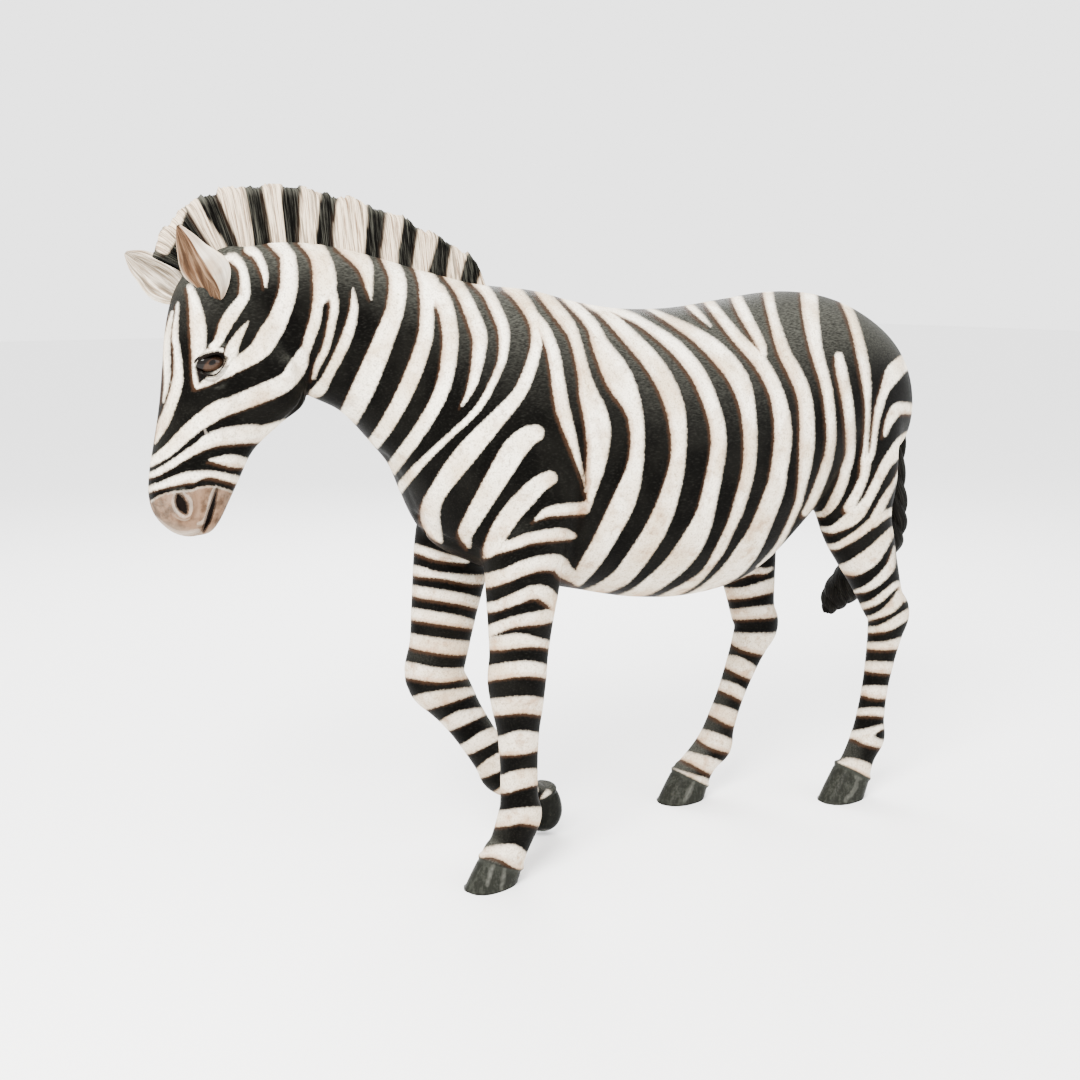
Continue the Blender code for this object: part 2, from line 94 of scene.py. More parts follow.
# Rings round the foot: place below the coronet, width and rise, in steps; and how far the
# edge of the horn drops below the coronet of each foot, and its slope
CORONET_RINGS = [(0.0, 0.50, 0.36), (0.95, 0.25, -0.16)]
CORONET_LEVEL = {
    "left_fore": (2.4, -0.09),
    "right_fore": (0.0, 0.10),
    "left_hind": (0.4, 0.10),
    "right_hind": (2.0, 0.08),
}

# Opening of the eye, in steps: middle along and up, half length and height, slant and depth;
# how far the lids rise and how deep the crease beside them is
EYE_OPENING = (-110.6, 117.7)
EYE_HALF = (3.0, 1.6)
EYE_SLANT = 0.30
EYE_DEEP = 1.1
LID_RISE = 0.30
LID_CREASE = 0.16

# Least distance of an eye from the middle plane, in metres, and what it reaches along and up
EYE_SIDE = 0.03
EYE_REACH = (7, 6)

# Rim, lid and crease as shares outside the opening: middle and width, or where they start and
# end, and how much more the upper lid rises
EYE_RIM = (-0.28, 0.04)
LID = (0.24, 0.22)
LID_ENDS = (1.0, 1.35)
UPPER_LID = 0.8
CREASE = (0.75, 0.16)
CREASE_ENDS = (0.9, 1.3)

# Eyeball: middle and radii in steps; iris and pupil: middle along and up, and radii
EYEBALL = (-110.6, 7.25, 117.8)
EYEBALL_RADII = (3.0, 1.75, 1.9)
IRIS = (-110.3, 117.5, 1.9, 1.25)
PUPIL = (-110.6, 117.9, 0.75, 0.5)

# Where the face is made finest: middle and reach in steps
FINE_SPOTS = [
    ((-110.6, 9.0, 117.5), 4.4), ((-116.6, 5.6, 91.0), 3.6),
    ((-110.8, 5.4, 91.5), 2.8), ((-112.0, 4.2, 87.0), 2.8),
]

# Finer folds of the head, in steps: path, reach either side, depth
HEAD_FEATURES = [
    ([(-117.2, 5.6, 92.7), (-116.6, 5.8, 91.1), (-115.9, 5.8, 89.6)], 1.25, 1.0),
    ([(-118.7, 4.9, 92.0), (-118.3, 5.2, 90.0), (-117.0, 5.6, 88.6), (-115.5, 5.9, 88.7),
      (-114.9, 6.0, 90.6), (-115.3, 6.0, 93.0), (-116.8, 5.7, 94.1)], 0.75, -0.40),
    ([(-114.1, 5.9, 94.0), (-113.4, 5.9, 90.6), (-115.1, 5.7, 87.4)], 0.8, 0.30),
    ([(-109.6, 5.6, 93.7), (-110.4, 5.6, 91.8), (-110.8, 5.5, 89.2), (-111.4, 5.0, 87.2),
      (-112.1, 4.0, 85.4), (-112.6, -3.0, 84.2)], 0.60, 0.85),
    ([(-110.1, 5.7, 94.2), (-111.1, 5.8, 92.2), (-111.6, 5.7, 90.0), (-112.3, 5.4, 88.0),
      (-114.0, 5.2, 86.8)], 0.75, -0.38),
    ([(-108.8, 5.2, 89.6)], 2.2, -0.25),
    ([(-106.4, 9.0, 111.5), (-109.5, 8.4, 107.0), (-113.0, 7.0, 103.0)], 0.9, -0.25),
    ([(-105.0, 8.6, 108.5), (-108.0, 8.2, 106.8)], 0.7, -0.2),
    ([(-112.9, 8.0, 108.5), (-112.6, 8.0, 106.0), (-110.4, 7.6, 102.2)], 0.4, -0.15),
    ([(-114.5, 7.6, 119.0), (-112.0, 8.8, 121.4), (-109.0, 9.6, 122.0), (-105.8, 9.8, 120.6)], 1.1, 0.25),
    ([(-112.5, 8.2, 113.6), (-109.5, 9.2, 113.8), (-106.8, 9.6, 116.0)], 1.0, 0.22),
]

# Folds of the whole skin, pressed in besides those of the solid
SKIN_FOLDS = [
    ([(-92.4, 8.8, 121.5), (-90.1, 8.4, 117.0), (-90.5, 7.2, 112.5), (-92.3, 5.8, 108.3),
      (-96.0, 4.5, 104.8)], 1.5, 0.55),
    ([(-95.5, 9.2, 118.0), (-95.0, 8.6, 112.5)], 3.0, -0.35),
    ([(-34.6, 21.5, 99.0), (-35.4, 21.6, 90.0), (-36.2, 19.8, 81.0), (-35.8, 15.0, 71.5)], 1.5, 0.35),
    ([(-29.0, 23.2, 96.0), (-30.0, 22.4, 86.0), (-31.5, 20.5, 78.0)], 2.2, 0.22),
    ([(-47.0, 17.5, 106.0), (-40.0, 19.5, 98.0), (-36.0, 21.0, 92.0)], 2.8, 0.22),
    ([(30.0, 23.5, 98.0), (34.0, 22.5, 88.0), (40.0, 19.0, 78.0)], 1.8, 0.25),
    ([(60.0, 15.5, 88.0), (57.0, 13.5, 76.0), (59.5, 11.0, 64.0)], 2.4, 0.30),
    ([(-59.0, 8.0, 101.0), (-56.0, 11.0, 92.0), (-55.0, 12.5, 84.0)], 2.6, 0.25),
]

# Mane: columns and rows of its surface, rows made between two points of its line, depth of its
# grooves and raggedness of its top in steps
MANE_COLUMNS = 760
MANE_ROWS = 42
MANE_STEPS = 40
MANE_GROOVE = 0.20
MANE_RAGGED = 0.22

# Its height as a share: where it starts in the neck, where its crest starts, rows of the crest
MANE_SUNK = -0.16
MANE_BEND = 0.93
MANE_CREST = [0.965, 0.99, 1.0]

# Its thickness, the depth of its grooves and the raggedness of its top, as shares at shares of
# its height; how many columns taper at each end, how thick the last is, and its gap to the end
MANE_WIDTHS = [(-0.35, 1.25), (0.0, 1.05), (0.5, 0.85), (0.85, 0.68), (0.95, 0.52), (1.0, 0.0)]
GROOVE_FADE = [(-0.05, 0.0), (0.25, 1.0), (0.92, 1.0), (1.02, 0.0)]
RAGGED_FADE = [(0.85, 0.0), (1.0, 1.0)]
TAPER_COLUMNS = 10
TAPER_END = 0.35
LAST_GAP = 0.001

# How its locks rise and fall, and over how many columns they flow into each other
LOCK_PITCH = 2.4
LOCK_SOFT = 9

# Tufts of the hair: rows and columns between their random heights, and their share
MANE_TUFTS = [((60, 16), 0.6), ((34, 6), 0.5), ((22, 3), 0.4)]
MANE_ENDS = [((1, 9), 0.6), ((1, 3), 0.5)]
EAR_HAIR = [((40, 4), 0.5), ((26, 2), 0.5)]
TAIL_HAIR = [((50, 3), 0.5), ((30, 1.6), 0.5)]

# Seeds of the random heights: mane and its top, the ears from the right one on, tail from its core on
MANE_SEED = 4
ENDS_SEED = 9
EAR_SEED = 7
TAIL_SEED = 20

# Ears and strands of the tail: rows between two sections, points round each, depth of the
# grooves of their hair in steps, and the share of it that is left on the back of an ear
EAR_STEPS = 14
EAR_SIDES = 144
EAR_GROOVE = 0.10
EAR_SMOOTHEST = 0.15
TAIL_STEPS = 6
STRAND_STEPS = 5
STRAND_SIDES = 72
TAIL_GROOVE = 0.10

# Lay of the painted hair, in metres: up the mane and between its sides; round an ear, along it
# and into its opening; round a strand of the tail and along it
MANE_LAY = 0.12
MANE_SIDE_LAY = 0.3
EAR_LAY = (0.035, 0.165, 0.05)
TAIL_LAY = (0.02, 0.8)

# Strokes, in pixels: rows made between two points, how far outside them depth is told, the same
# for fine lines and soft shades, whose depths come in whole pixels because their reach is whole,
# and the shift to where a dark stripe's brown fringe begins
STROKE_STEPS = 3
PAINT_REACH = 9.0
LINE_REACH = 3
SHADE_REACH = 4
FRINGE_SHIFT = (3.0, -3.0)

# Soft steps from the stripes of the trunk to those of a right leg, in steps: distance from the
# leg's joints, height and distance to the right
LEG_REACH = (13, 16)
LEG_TOP = (74.0, 80.0)
RIGHT_LEG_SIDE = (1.0, 3.0)

# Soft steps to what the far side shows: place in metres, and how far the skin turns to the view
RIGHT_SIDE = (0.0, 0.02)
TURNED_AWAY = (-0.1, 0.2)
HIDDEN_TURN = (-0.05, 0.15)

# What is added to the depth below a coronet, so that a skin without feet shows no horn
HORN_EDGE = 9.0

# Reach round a coronet within which the skin belongs to that foot, across and along, in metres
FOOT_REACH = 0.09
FOOT_LENGTH = 0.16

# How far inside the solid's box the pieces stay, in metres
BOX_MARGIN = 0.0002

# How square the sections of trunk, head and hooves are, 2 for an oval, and the width in metres
# for which the half widths of the trunk are given
BODY_SQUARENESS = 2.15
HEAD_SQUARENESS = 2.4
HOOF_SQUARENESS = 2.2
TABLE_WIDTH = 0.50

# How strongly the forms flow together at a junction, and how the skin is held along its cuts
JUNCTION_WEIGHT = 1.6
HELD_ROUNDS = 3
HELD_FADE = 0.75
HELD_MARGIN = 1.2

# Where the skin is parted, in steps: place, slope and height of the cut behind the head, heights
# of the head's lowest and the legs' highest point, and place of the end of the fore part
HEAD_CUT = (-93.0, 0.45, 120.0)
HEAD_BOTTOM = 80
LEGS_TOP = 72
FORE_END = -20

# Where the lines of the face end towards the neck, in metres
FACE_END = -0.6

# Rings of the hidden tops of the right legs: height where they start, pitch, slant, depth
HIDDEN_RINGS = {"right_fore": (73.0, 6.6, 0.35, 5.5), "right_hind": (56.0, 6.2, 0.45, 5.5)}

# Colours of the paint
CREAM = (0.88, 0.82, 0.69, 1.0)
CREAM_SHADE = (0.58, 0.47, 0.33, 1.0)
CREAM_FLECK = (0.115, 0.074, 0.044, 1.0)
CREAM_BLUSH = (0.30, 0.19, 0.11, 1.0)
# Painted shade: the cream darker towards the bottom of the body and legs
CREAM_LOW_SHADE = (0.36, 0.28, 0.195, 1.0)
EDGE_WARM = (0.30, 0.17, 0.09, 1.0)
EDGE_GREY = (0.22, 0.20, 0.17, 1.0)
DARK = (0.0010, 0.0009, 0.0007, 1.0)
DARK_SHADE = (0.0028, 0.0026, 0.0021, 1.0)
DARK_HAIR = (0.011, 0.0105, 0.009, 1.0)
# Painted sheen: the dark ground turns greyer where the skin faces up
DARK_PAINTED_SHEEN = (0.050, 0.050, 0.042, 1.0)
BROWN = (0.026, 0.0125, 0.0066, 1.0)
# Painted shade of the folds and creases, laid over the coat
SHADE = (0.40, 0.27, 0.18, 1.0)
# Painted highlight along the veins of the cheek and the rims of the nostril and lips
PAINTED_HIGHLIGHT = (0.42, 0.36, 0.30, 1.0)
FLESH = (0.115, 0.066, 0.040, 1.0)
FLESH_SHADE = (0.036, 0.018, 0.010, 1.0)
# Painted light: the muzzle paler where it faces down
FLESH_PAINTED_LIGHT = (0.24, 0.18, 0.13, 1.0)
LINE = (0.0035, 0.0025, 0.002, 1.0)
HORN = (0.010, 0.0104, 0.0085, 1.0)
HORN_LIGHT = (0.022, 0.023, 0.019, 1.0)
HORN_BLACK = (0.0022, 0.0022, 0.0018, 1.0)
# Painted highlights and lighter streaks on the horn
HORN_GLINT_AND_STREAK = (0.12, 0.12, 0.105, 1.0)
MANE_CREAM = (0.60, 0.49, 0.36, 1.0)
MANE_STREAK = (0.12, 0.068, 0.036, 1.0)
MANE_GREY = (0.045, 0.033, 0.023, 1.0)
MANE_TIP = (0.060, 0.059, 0.048, 1.0)
EAR_BACK = (0.82, 0.75, 0.62, 1.0)
EAR_BASE = (0.30, 0.20, 0.13, 1.0)
EAR_RIM = (0.08, 0.042, 0.024, 1.0)
NEAR_EAR_HAIRS = ((0.075, 0.040, 0.022, 1.0), (0.17, 0.105, 0.062, 1.0), (0.020, 0.010, 0.0055, 1.0))
FAR_EAR_HAIRS = ((0.24, 0.185, 0.13, 1.0), (0.66, 0.58, 0.47, 1.0), (0.045, 0.032, 0.021, 1.0))
TAIL_DARK = (0.0035, 0.0032, 0.0028, 1.0)
TAIL_LIGHT = (0.024, 0.023, 0.020, 1.0)
# Eye: brown, darker towards the top of the eyeball as painted shadow of the upper lid
EYE_BROWN = (0.014, 0.007, 0.004, 1.0)
EYE_LIGHT = (0.040, 0.021, 0.012, 1.0)
EYE_DARK = (0.002, 0.0015, 0.001, 1.0)
FLOOR = (0.90, 0.90, 0.90, 1.0)
FLOOR_SHADE = (0.87, 0.87, 0.87, 1.0)
COAT_ROUGHNESS = 0.39
SPECULAR = 0.015

# Values kept for the vertices of the skin, and noises of its paint: scale, detail, roughness
SKIN_FIELDS = ("light", "shifted", "up", "shade", "muzzle", "highlight_line", "line", "hoof", "raised", "glint_and_streak")
COAT_NOISES = [
    ("mottle", 9.0, 3.0, 0.55),
    ("blotch", 28.0, 3.0, 0.60),
    ("flesh", 45.0, 4.0, 0.55),
    ("grain", 120.0, 3.0, 0.75),
    ("speckle", 260.0, 2.0, 0.70),
]
COAT_HAIR = (110.0, 420.0, 420.0)
HORN_STREAK = (95.0, 95.0, 9.0)

# How far the edges of the stripes waver, in pixels: scale of the noise, and amount
EDGE_WAVES = [(150.0, 2.4), (400.0, 1.6)]

# Layers of each paint, bottom to top: its colour, and the fields it follows, with the values
# between which it appears and, where it isn't from 0 to 1, its most and its least
DARK_LAYERS = [
    (DARK_SHADE, ("mottle", 0.40, 0.65)),
    (DARK_HAIR, ("hair", 0.50, 0.74, 0.45)),
    # painted sheen: greyer where the skin faces up
    (DARK_PAINTED_SHEEN, ("up", 0.05, 0.80, 0.7), ("hair", 0.30, 0.70, 1.25, 0.25)),
    (BROWN, ("fringe", -1.8, 2.2, 0.75), ("lead", 0.3, 1.6)),
]
CREAM_LAYERS = [
    (CREAM_SHADE, ("mottle", 0.35, 0.70)),
    # painted shade, darker towards the bottom
    (CREAM_LOW_SHADE, ("height", 1.30, 0.50, 0.5)),
    (CREAM_BLUSH, ("blotch", 0.48, 0.72), ("height", 1.30, 0.50, 0.8, 0.3)),
    (CREAM_FLECK, ("speckle", 0.46, 0.76, 0.62)),
    (CREAM_FLECK, ("grain", 0.50, 0.70, 0.45)),
    (EDGE_WARM, ("lead", 0.5, 3.0), ("light", 5.5, 1.5, 0.5)),
    (EDGE_GREY, ("lead", -0.5, -3.0), ("light", 4.0, 0.0, 0.6)),
]
FLESH_LAYERS = [
    (FLESH_SHADE, ("flesh", 0.38, 0.64)),
    # painted light, paler where the muzzle faces down
    (FLESH_PAINTED_LIGHT, ("up", -0.35, -0.85, 0.6)),
]
FACE_LAYERS = [
    # painted highlights of the veins and rims, then the dark lines
    (PAINTED_HIGHLIGHT, ("highlight_line", -0.8, 0.7, 0.42)),
    (LINE, ("line", -0.8, 0.5)),
]
HORN_LAYERS = [
    (HORN_LIGHT, ("streak", 0.90, 1.25)),
    (HORN_LIGHT, ("hoof", 8.8, 9.3, 0.5), ("hoof", 10.6, 9.6)),
    (HORN_BLACK, ("raised", 0.0, 1.0, 0.7)),
    # painted highlights and lighter streaks on the horn
    (HORN_GLINT_AND_STREAK, ("glint_and_streak", 1.5, 4.6, 0.4)),
]
MANE_DARK_LAYERS = [
    (MANE_TIP, ("fine", 0.46, 0.68, 0.55)),
    (BROWN, ("fringe", -2.0, 1.0, 0.25)),
    (MANE_TIP, ("top", 0.80, 1.00, 0.7), ("fine", 0.36, 0.60)),
]
MANE_CREAM_LAYERS = [
    (MANE_STREAK, ("fine", 0.44, 0.64, 0.9)),
    (MANE_GREY, ("wide", 0.54, 0.66, 0.75)),
]
EAR_BACK_LAYERS = [
    (CREAM_SHADE, ("cloud", 0.40, 0.70)),
    (EAR_BASE, ("along", 0.42, 0.02, 0.8)),
    (EAR_BASE, ("fine", 0.45, 0.70, 0.4)),
    (EAR_BASE, ("along", 0.62, 0.80, 0.7)),
    (EAR_RIM, ("spread", -0.30, -0.02, 0.55), ("spread", 0.20, 0.00)),
]

# Room and lamps: name, place, target, size, power, tint
ROOM_STRENGTH = 3.0
FLOOR_HALF = 30.0
LAMPS = [
    ("key", (-3.2, -2.6, 4.2), (0, 0, 0.9), (2.4, 2.4), 1050.0, (1.0, 0.98, 0.95)),
    ("fill", (3.5, -4.0, 2.4), (0.2, 0, 0.8), (3.5, 3.0), 200.0, (0.97, 0.98, 1.0)),
    ("back", (1.5, 3.6, 3.6), (0, 0, 1.0), (3.0, 2.0), 350.0, (1.0, 1.0, 1.0)),
]

# Trunk and neck, rump to poll: top x, top z, under x, under z, half width, widest level
BODY = [
    (72.1, 106.0, 72.6, 97.0, 4.5, 0.50),
    (70.4, 113.0, 71.6, 91.0, 8.7, 0.50),
    (66.4, 118.3, 68.2, 88.0, 12.5, 0.50),
    (60.0, 123.0, 62.0, 86.0, 16.4, 0.52),
    (51.5, 127.2, 52.5, 83.0, 19.4, 0.54),
    (42.0, 129.8, 42.5, 80.5, 21.6, 0.54),
    (31.0, 130.3, 32.0, 71.3, 23.3, 0.51),
    (17.0, 128.6, 18.0, 61.6, 24.6, 0.47),
    (2.0, 126.8, 3.0, 59.1, 25.0, 0.45),
    (-13.0, 126.7, -12.0, 60.4, 24.6, 0.45),
    (-26.0, 128.4, -25.0, 63.4, 23.4, 0.45),
    (-37.0, 130.9, -37.0, 66.5, 21.4, 0.44),
    (-45.0, 131.7, -49.0, 71.0, 19.6, 0.42),
    (-51.5, 132.4, -59.8, 76.6, 18.0, 0.42),
    (-58.0, 133.8, -64.6, 84.0, 15.8, 0.43),
    (-65.5, 135.6, -68.5, 92.7, 13.2, 0.45),
    (-73.0, 137.6, -74.4, 99.8, 11.2, 0.47),
    (-81.0, 139.4, -80.6, 106.3, 9.8, 0.50),
    (-89.5, 140.6, -88.0, 110.1, 9.0, 0.50),
    (-97.0, 140.4, -95.5, 114.5, 8.8, 0.50),
    (-103.0, 138.8, -101.0, 119.0, 8.0, 0.50),
]

# Head, poll to muzzle: front x, front z, back x, back z, half width, widest level
HEAD = [
    (-105.0, 139.8, -100.0, 139.3, 3.0, 0.50),
    (-109.5, 137.0, -97.0, 133.5, 6.0, 0.50),
    (-113.8, 131.5, -93.5, 126.0, 8.6, 0.55),
    (-115.9, 124.5, -90.8, 117.5, 9.8, 0.60),
    (-117.0, 117.0, -89.6, 109.5, 9.5, 0.55),
    (-118.0, 110.0, -95.2, 105.0, 8.2, 0.50),
    (-119.4, 103.0, -100.6, 100.2, 6.7, 0.55),
    (-120.8, 96.5, -103.6, 94.7, 5.8, 0.55),
    (-121.0, 91.5, -106.1, 90.1, 5.9, 0.55),
    (-119.9, 88.0, -107.8, 87.1, 5.6, 0.50),
    (-117.4, 85.2, -109.7, 84.8, 4.4, 0.50),
    (-115.2, 84.1, -112.2, 84.1, 2.2, 0.50),
]

# Joints of each leg, trunk to coronet: x, outward offset from half the spread, z
LEGS = {
    "left_fore": [
        (-41.0, 1.5, 88.0), (-45.7, 2.5, 77.0), (-46.6, 0.9, 47.5), (-44.2, -2.4, 15.5), (-47.3, -3.0, 7.0),
    ],
    "right_fore": [
        (-41.8, 1.5, 88.0), (-48.2, 2.8, 78.0), (-54.5, 2.2, 44.0), (-37.8, 1.0, 18.0), (-27.9, 1.2, 11.3),
    ],
    "left_hind": [
        (48.6, 1.5, 90.0), (49.0, 2.3, 76.0), (62.7, 1.0, 48.7), (60.6, -2.0, 15.6), (57.0, -2.5, 7.0),
    ],
    "right_hind": [
        (43.0, 1.5, 90.0), (34.4, 2.6, 73.5), (38.8, 1.6, 44.0), (26.4, 2.0, 13.5), (20.6, 2.4, 7.0),
    ],
}
LEG_GIRTH = {"left_fore": 1.0, "right_fore": 1.06, "left_hind": 0.97, "right_hind": 1.03}

# Sections of a leg: place along its joints, reach ahead, reach behind, half width
FORE_PROFILE = [
    (-0.5, 2.0, 2.0, 1.5),
    (-0.4, 6.0, 6.5, 4.5),
    (0.0, 9.0, 10.0, 6.8),
    (0.5, 9.4, 10.5, 7.2),
    (1.0, 9.2, 9.8, 7.0),
    (1.3, 8.5, 8.6, 6.6),
    (1.55, 7.5, 7.4, 6.2),
    (1.8, 6.6, 6.6, 5.8),
    (2.0, 6.7, 6.4, 6.0),
    (2.2, 5.8, 5.6, 5.3),
    (2.4, 4.7, 4.7, 4.3),
    (2.65, 4.3, 4.3, 3.9),
    (2.88, 4.4, 4.3, 4.1),
    (3.0, 4.9, 5.2, 4.5),
    (3.5, 4.5, 5.1, 4.2),
    (4.0, 4.3, 4.5, 4.3),
]
HIND_PROFILE = [
    (-0.9, 3.0, 3.0, 2.0),
    (-0.75, 8.0, 8.0, 4.5),
    (-0.3, 13.0, 13.0, 7.4),
    (0.3, 13.6, 13.2, 8.4),
    (1.0, 10.6, 10.8, 7.8),
    (1.3, 9.0, 8.6, 6.9),
    (1.6, 7.0, 7.0, 5.8),
    (1.85, 6.0, 6.0, 5.0),
    (2.0, 5.4, 7.0, 4.8),
    (2.15, 4.2, 5.7, 4.2),
    (2.35, 3.6, 4.4, 3.7),
    (2.6, 3.4, 3.7, 3.3),
    (2.85, 3.7, 4.1, 3.6),
    (3.0, 4.2, 5.4, 4.2),
    (3.5, 4.2, 4.3, 4.0),
    (4.0, 4.5, 4.5, 4.3),
]

# Sections of a hoof, coronet to sole, and how it leans: share down, share long, share wide
HOOF_STANDING = [
    (-0.05, 0.82, 0.88),
    (0.0, 0.85, 0.92),
    (0.3, 0.92, 0.96),
    (0.65, 0.99, 1.0),
    (1.0, 1.03, 1.03),
]
HOOF_RAISED = [
    (-0.08, 0.66, 0.80),
    (0.02, 0.80, 0.90),
    (0.35, 0.92, 0.97),
    (0.7, 0.85, 0.92),
    (0.93, 0.55, 0.7),
    (1.03, 0.3, 0.4),
]
STANDING_LEAN = -0.50
HOOF_TURN = {"left_fore": 20, "right_fore": 0, "left_hind": 0, "right_hind": 0}
RAISED_LEAN = 0.30
RAISED_DEPTH = 10.1
RAISED_ABOVE = 10
FOLDED_FETLOCK = 0.42
FETLOCK_PLACE = 2.9
SOLE_ALLOWANCE = 4.6
TOE_SHARE = 0.54

# Muscles that stand out on both sides: centre, radii, pitch and lean in degrees
MUSCLES = [
    ((-43.0, 11.0, 98.0), (13.0, 8.6, 25.0), 14, 0),
    ((-38.0, 12.0, 86.0), (12.0, 8.0, 14.0), 0, 0),
    ((-54.0, 7.0, 92.0), (10.0, 9.0, 13.0), 10, 0),
    ((47.0, 10.5, 100.0), (17.0, 9.5, 23.0), 0, 0),
]

# Top of the mane, and the crest of the neck under it: x, z
MANE_TOP = [
    (-118.4, 137.2), (-116.7, 141.4), (-113.0, 145.5), (-108.2, 148.6), (-102.5, 150.3),
    (-97.0, 151.0), (-90.5, 151.1), (-84.6, 150.0), (-78.2, 149.1), (-71.7, 147.1),
    (-65.1, 144.8), (-58.3, 141.6), (-52.8, 138.9), (-49.3, 135.7),
]
MANE_ROOT = [
    (-111.5, 134.0), (-110.0, 135.5), (-107.5, 137.0), (-104.5, 138.0), (-101.0, 138.5),
    (-96.0, 139.0), (-90.0, 139.2), (-84.0, 138.5), (-77.5, 137.3), (-71.0, 135.6),
    (-64.5, 133.9), (-58.0, 132.3), (-52.0, 131.3), (-47.5, 130.5),
]

# How far the locks of the mane drop in steps
LOCK_DROP = 0.4

# Sections of an ear, root to tip: place along it, half width, reach towards its opening,
# reach behind, how deep its opening is dished
EAR_SECTIONS = [
    (-0.04, 1.0, 0.6, 1.4, 0.0),
    (0.03, 2.0, 1.0, 2.6, 0.0),
    (0.10, 2.9, 1.4, 3.6, 0.6),
    (0.22, 3.9, 2.3, 4.8, 2.2),
    (0.37, 4.5, 3.3, 4.9, 3.9),
    (0.52, 4.2, 3.1, 3.8, 4.0),
    (0.65, 3.4, 2.5, 2.6, 3.3),
    (0.80, 2.6, 1.6, 1.7, 2.2),
    (0.91, 1.6, 0.9, 1.0, 1.0),
    (1.00, 0.5, 0.3, 0.4, 0.0),
]

# Lips of the dished opening: cosine of their turn from its middle
LIP_TURN = 0.66

# Root, tip and opening side of the ears
EARS = [
    ((-108.7, -7.5, 130.0), (-116.0, -9.5, 142.6), (-1.0, -0.3, -0.4)),
    ((-109.8, 7.1, 129.8), (-119.5, 14.8, 138.3), (-0.62, -0.75, -0.05)),
]

# Tail from the dock to its tip: x, y, z, thickness as a share
TAIL = [
    (69.0, 0.0, 115.0, 1.0),
    (73.0, 0.0, 109.5, 1.0),
    (74.6, 0.0, 98.0, 0.9),
    (74.9, 0.0, 84.0, 0.95),
    (75.7, 0.5, 71.0, 1.25),
    (73.0, 2.5, 62.5, 1.75),
    (68.0, 5.5, 55.4, 1.9),
    (63.8, 7.5, 50.0, 1.5),
    (61.0, 8.5, 45.4, 0.45),
]

# How far a strand of the tail lies off its middle, and how thick it is, as shares of the half
STRAND_OFFSET = 0.45
STRAND_THICKNESS = 0.62
CORE_THICKNESS = 0.8

# Folds and features pressed into the skin on both sides, or raised where the depth is
# negative: path, reach either side of it, depth
FEATURES = [
    ([(-111.0, 8.8, 117.8)], 3.6, 0.5),
    ([(-113.3, 7.6, 116.2), (-111.6, 8.9, 119.3), (-109.0, 9.6, 120.2), (-107.2, 9.7, 118.8)], 1.3, -0.5),
    ([(-112.8, 7.8, 115.2), (-110.6, 9.0, 115.4), (-108.4, 9.5, 116.6)], 1.1, -0.35),
    ([(-117.6, 5.6, 93.4), (-116.4, 5.7, 89.4)], 2.3, -0.35),
    ([(-117.6, 5.6, 93.0), (-116.5, 5.7, 89.6)], 1.1, 1.3),
    ([(-108.9, 5.5, 94.0), (-110.7, 5.4, 90.0), (-111.9, 4.0, 86.0), (-112.6, -3.0, 84.0)], 0.9, 0.7),
    ([(-92.5, 8.6, 122.5), (-90.4, 8.0, 117.5), (-89.2, 6.0, 113.0), (-90.3, 4.0, 107.5)], 1.8, 0.7),
    ([(-97.5, 9.2, 115.0)], 9.0, -0.7),
    ([(-107.8, 9.4, 113.5), (-111.8, 7.6, 105.0)], 2.2, -0.4),
    ([(-35.9, 21.7, 97.0), (-36.6, 21.0, 87.0), (-36.9, 18.8, 78.5), (-35.5, 13.0, 69.0)], 3.0, 0.9),
    ([(-65.0, -3.0, 84.0), (-61.0, 5.0, 79.0), (-54.0, 11.0, 75.5)], 2.4, 0.8),
    ([(-73.0, 0.0, 99.0), (-68.5, 0.0, 88.0), (-64.0, 0.0, 79.0)], 3.0, 0.4),
    ([(32.0, 22.8, 90.0), (38.5, 20.5, 79.0), (43.0, 15.0, 70.0)], 3.0, 0.9),
]

# Where the forms flow into each other: centre, radius, rounds of smoothing
JUNCTIONS = [
    ((-46.0, 0.0, 90.0), 38.0, 50),
    ((50.0, 0.0, 94.0), 38.0, 50),
    ((-97.0, 0.0, 131.0), 15.0, 40),
    ((72.0, 0.0, 110.0), 8.0, 10),
]

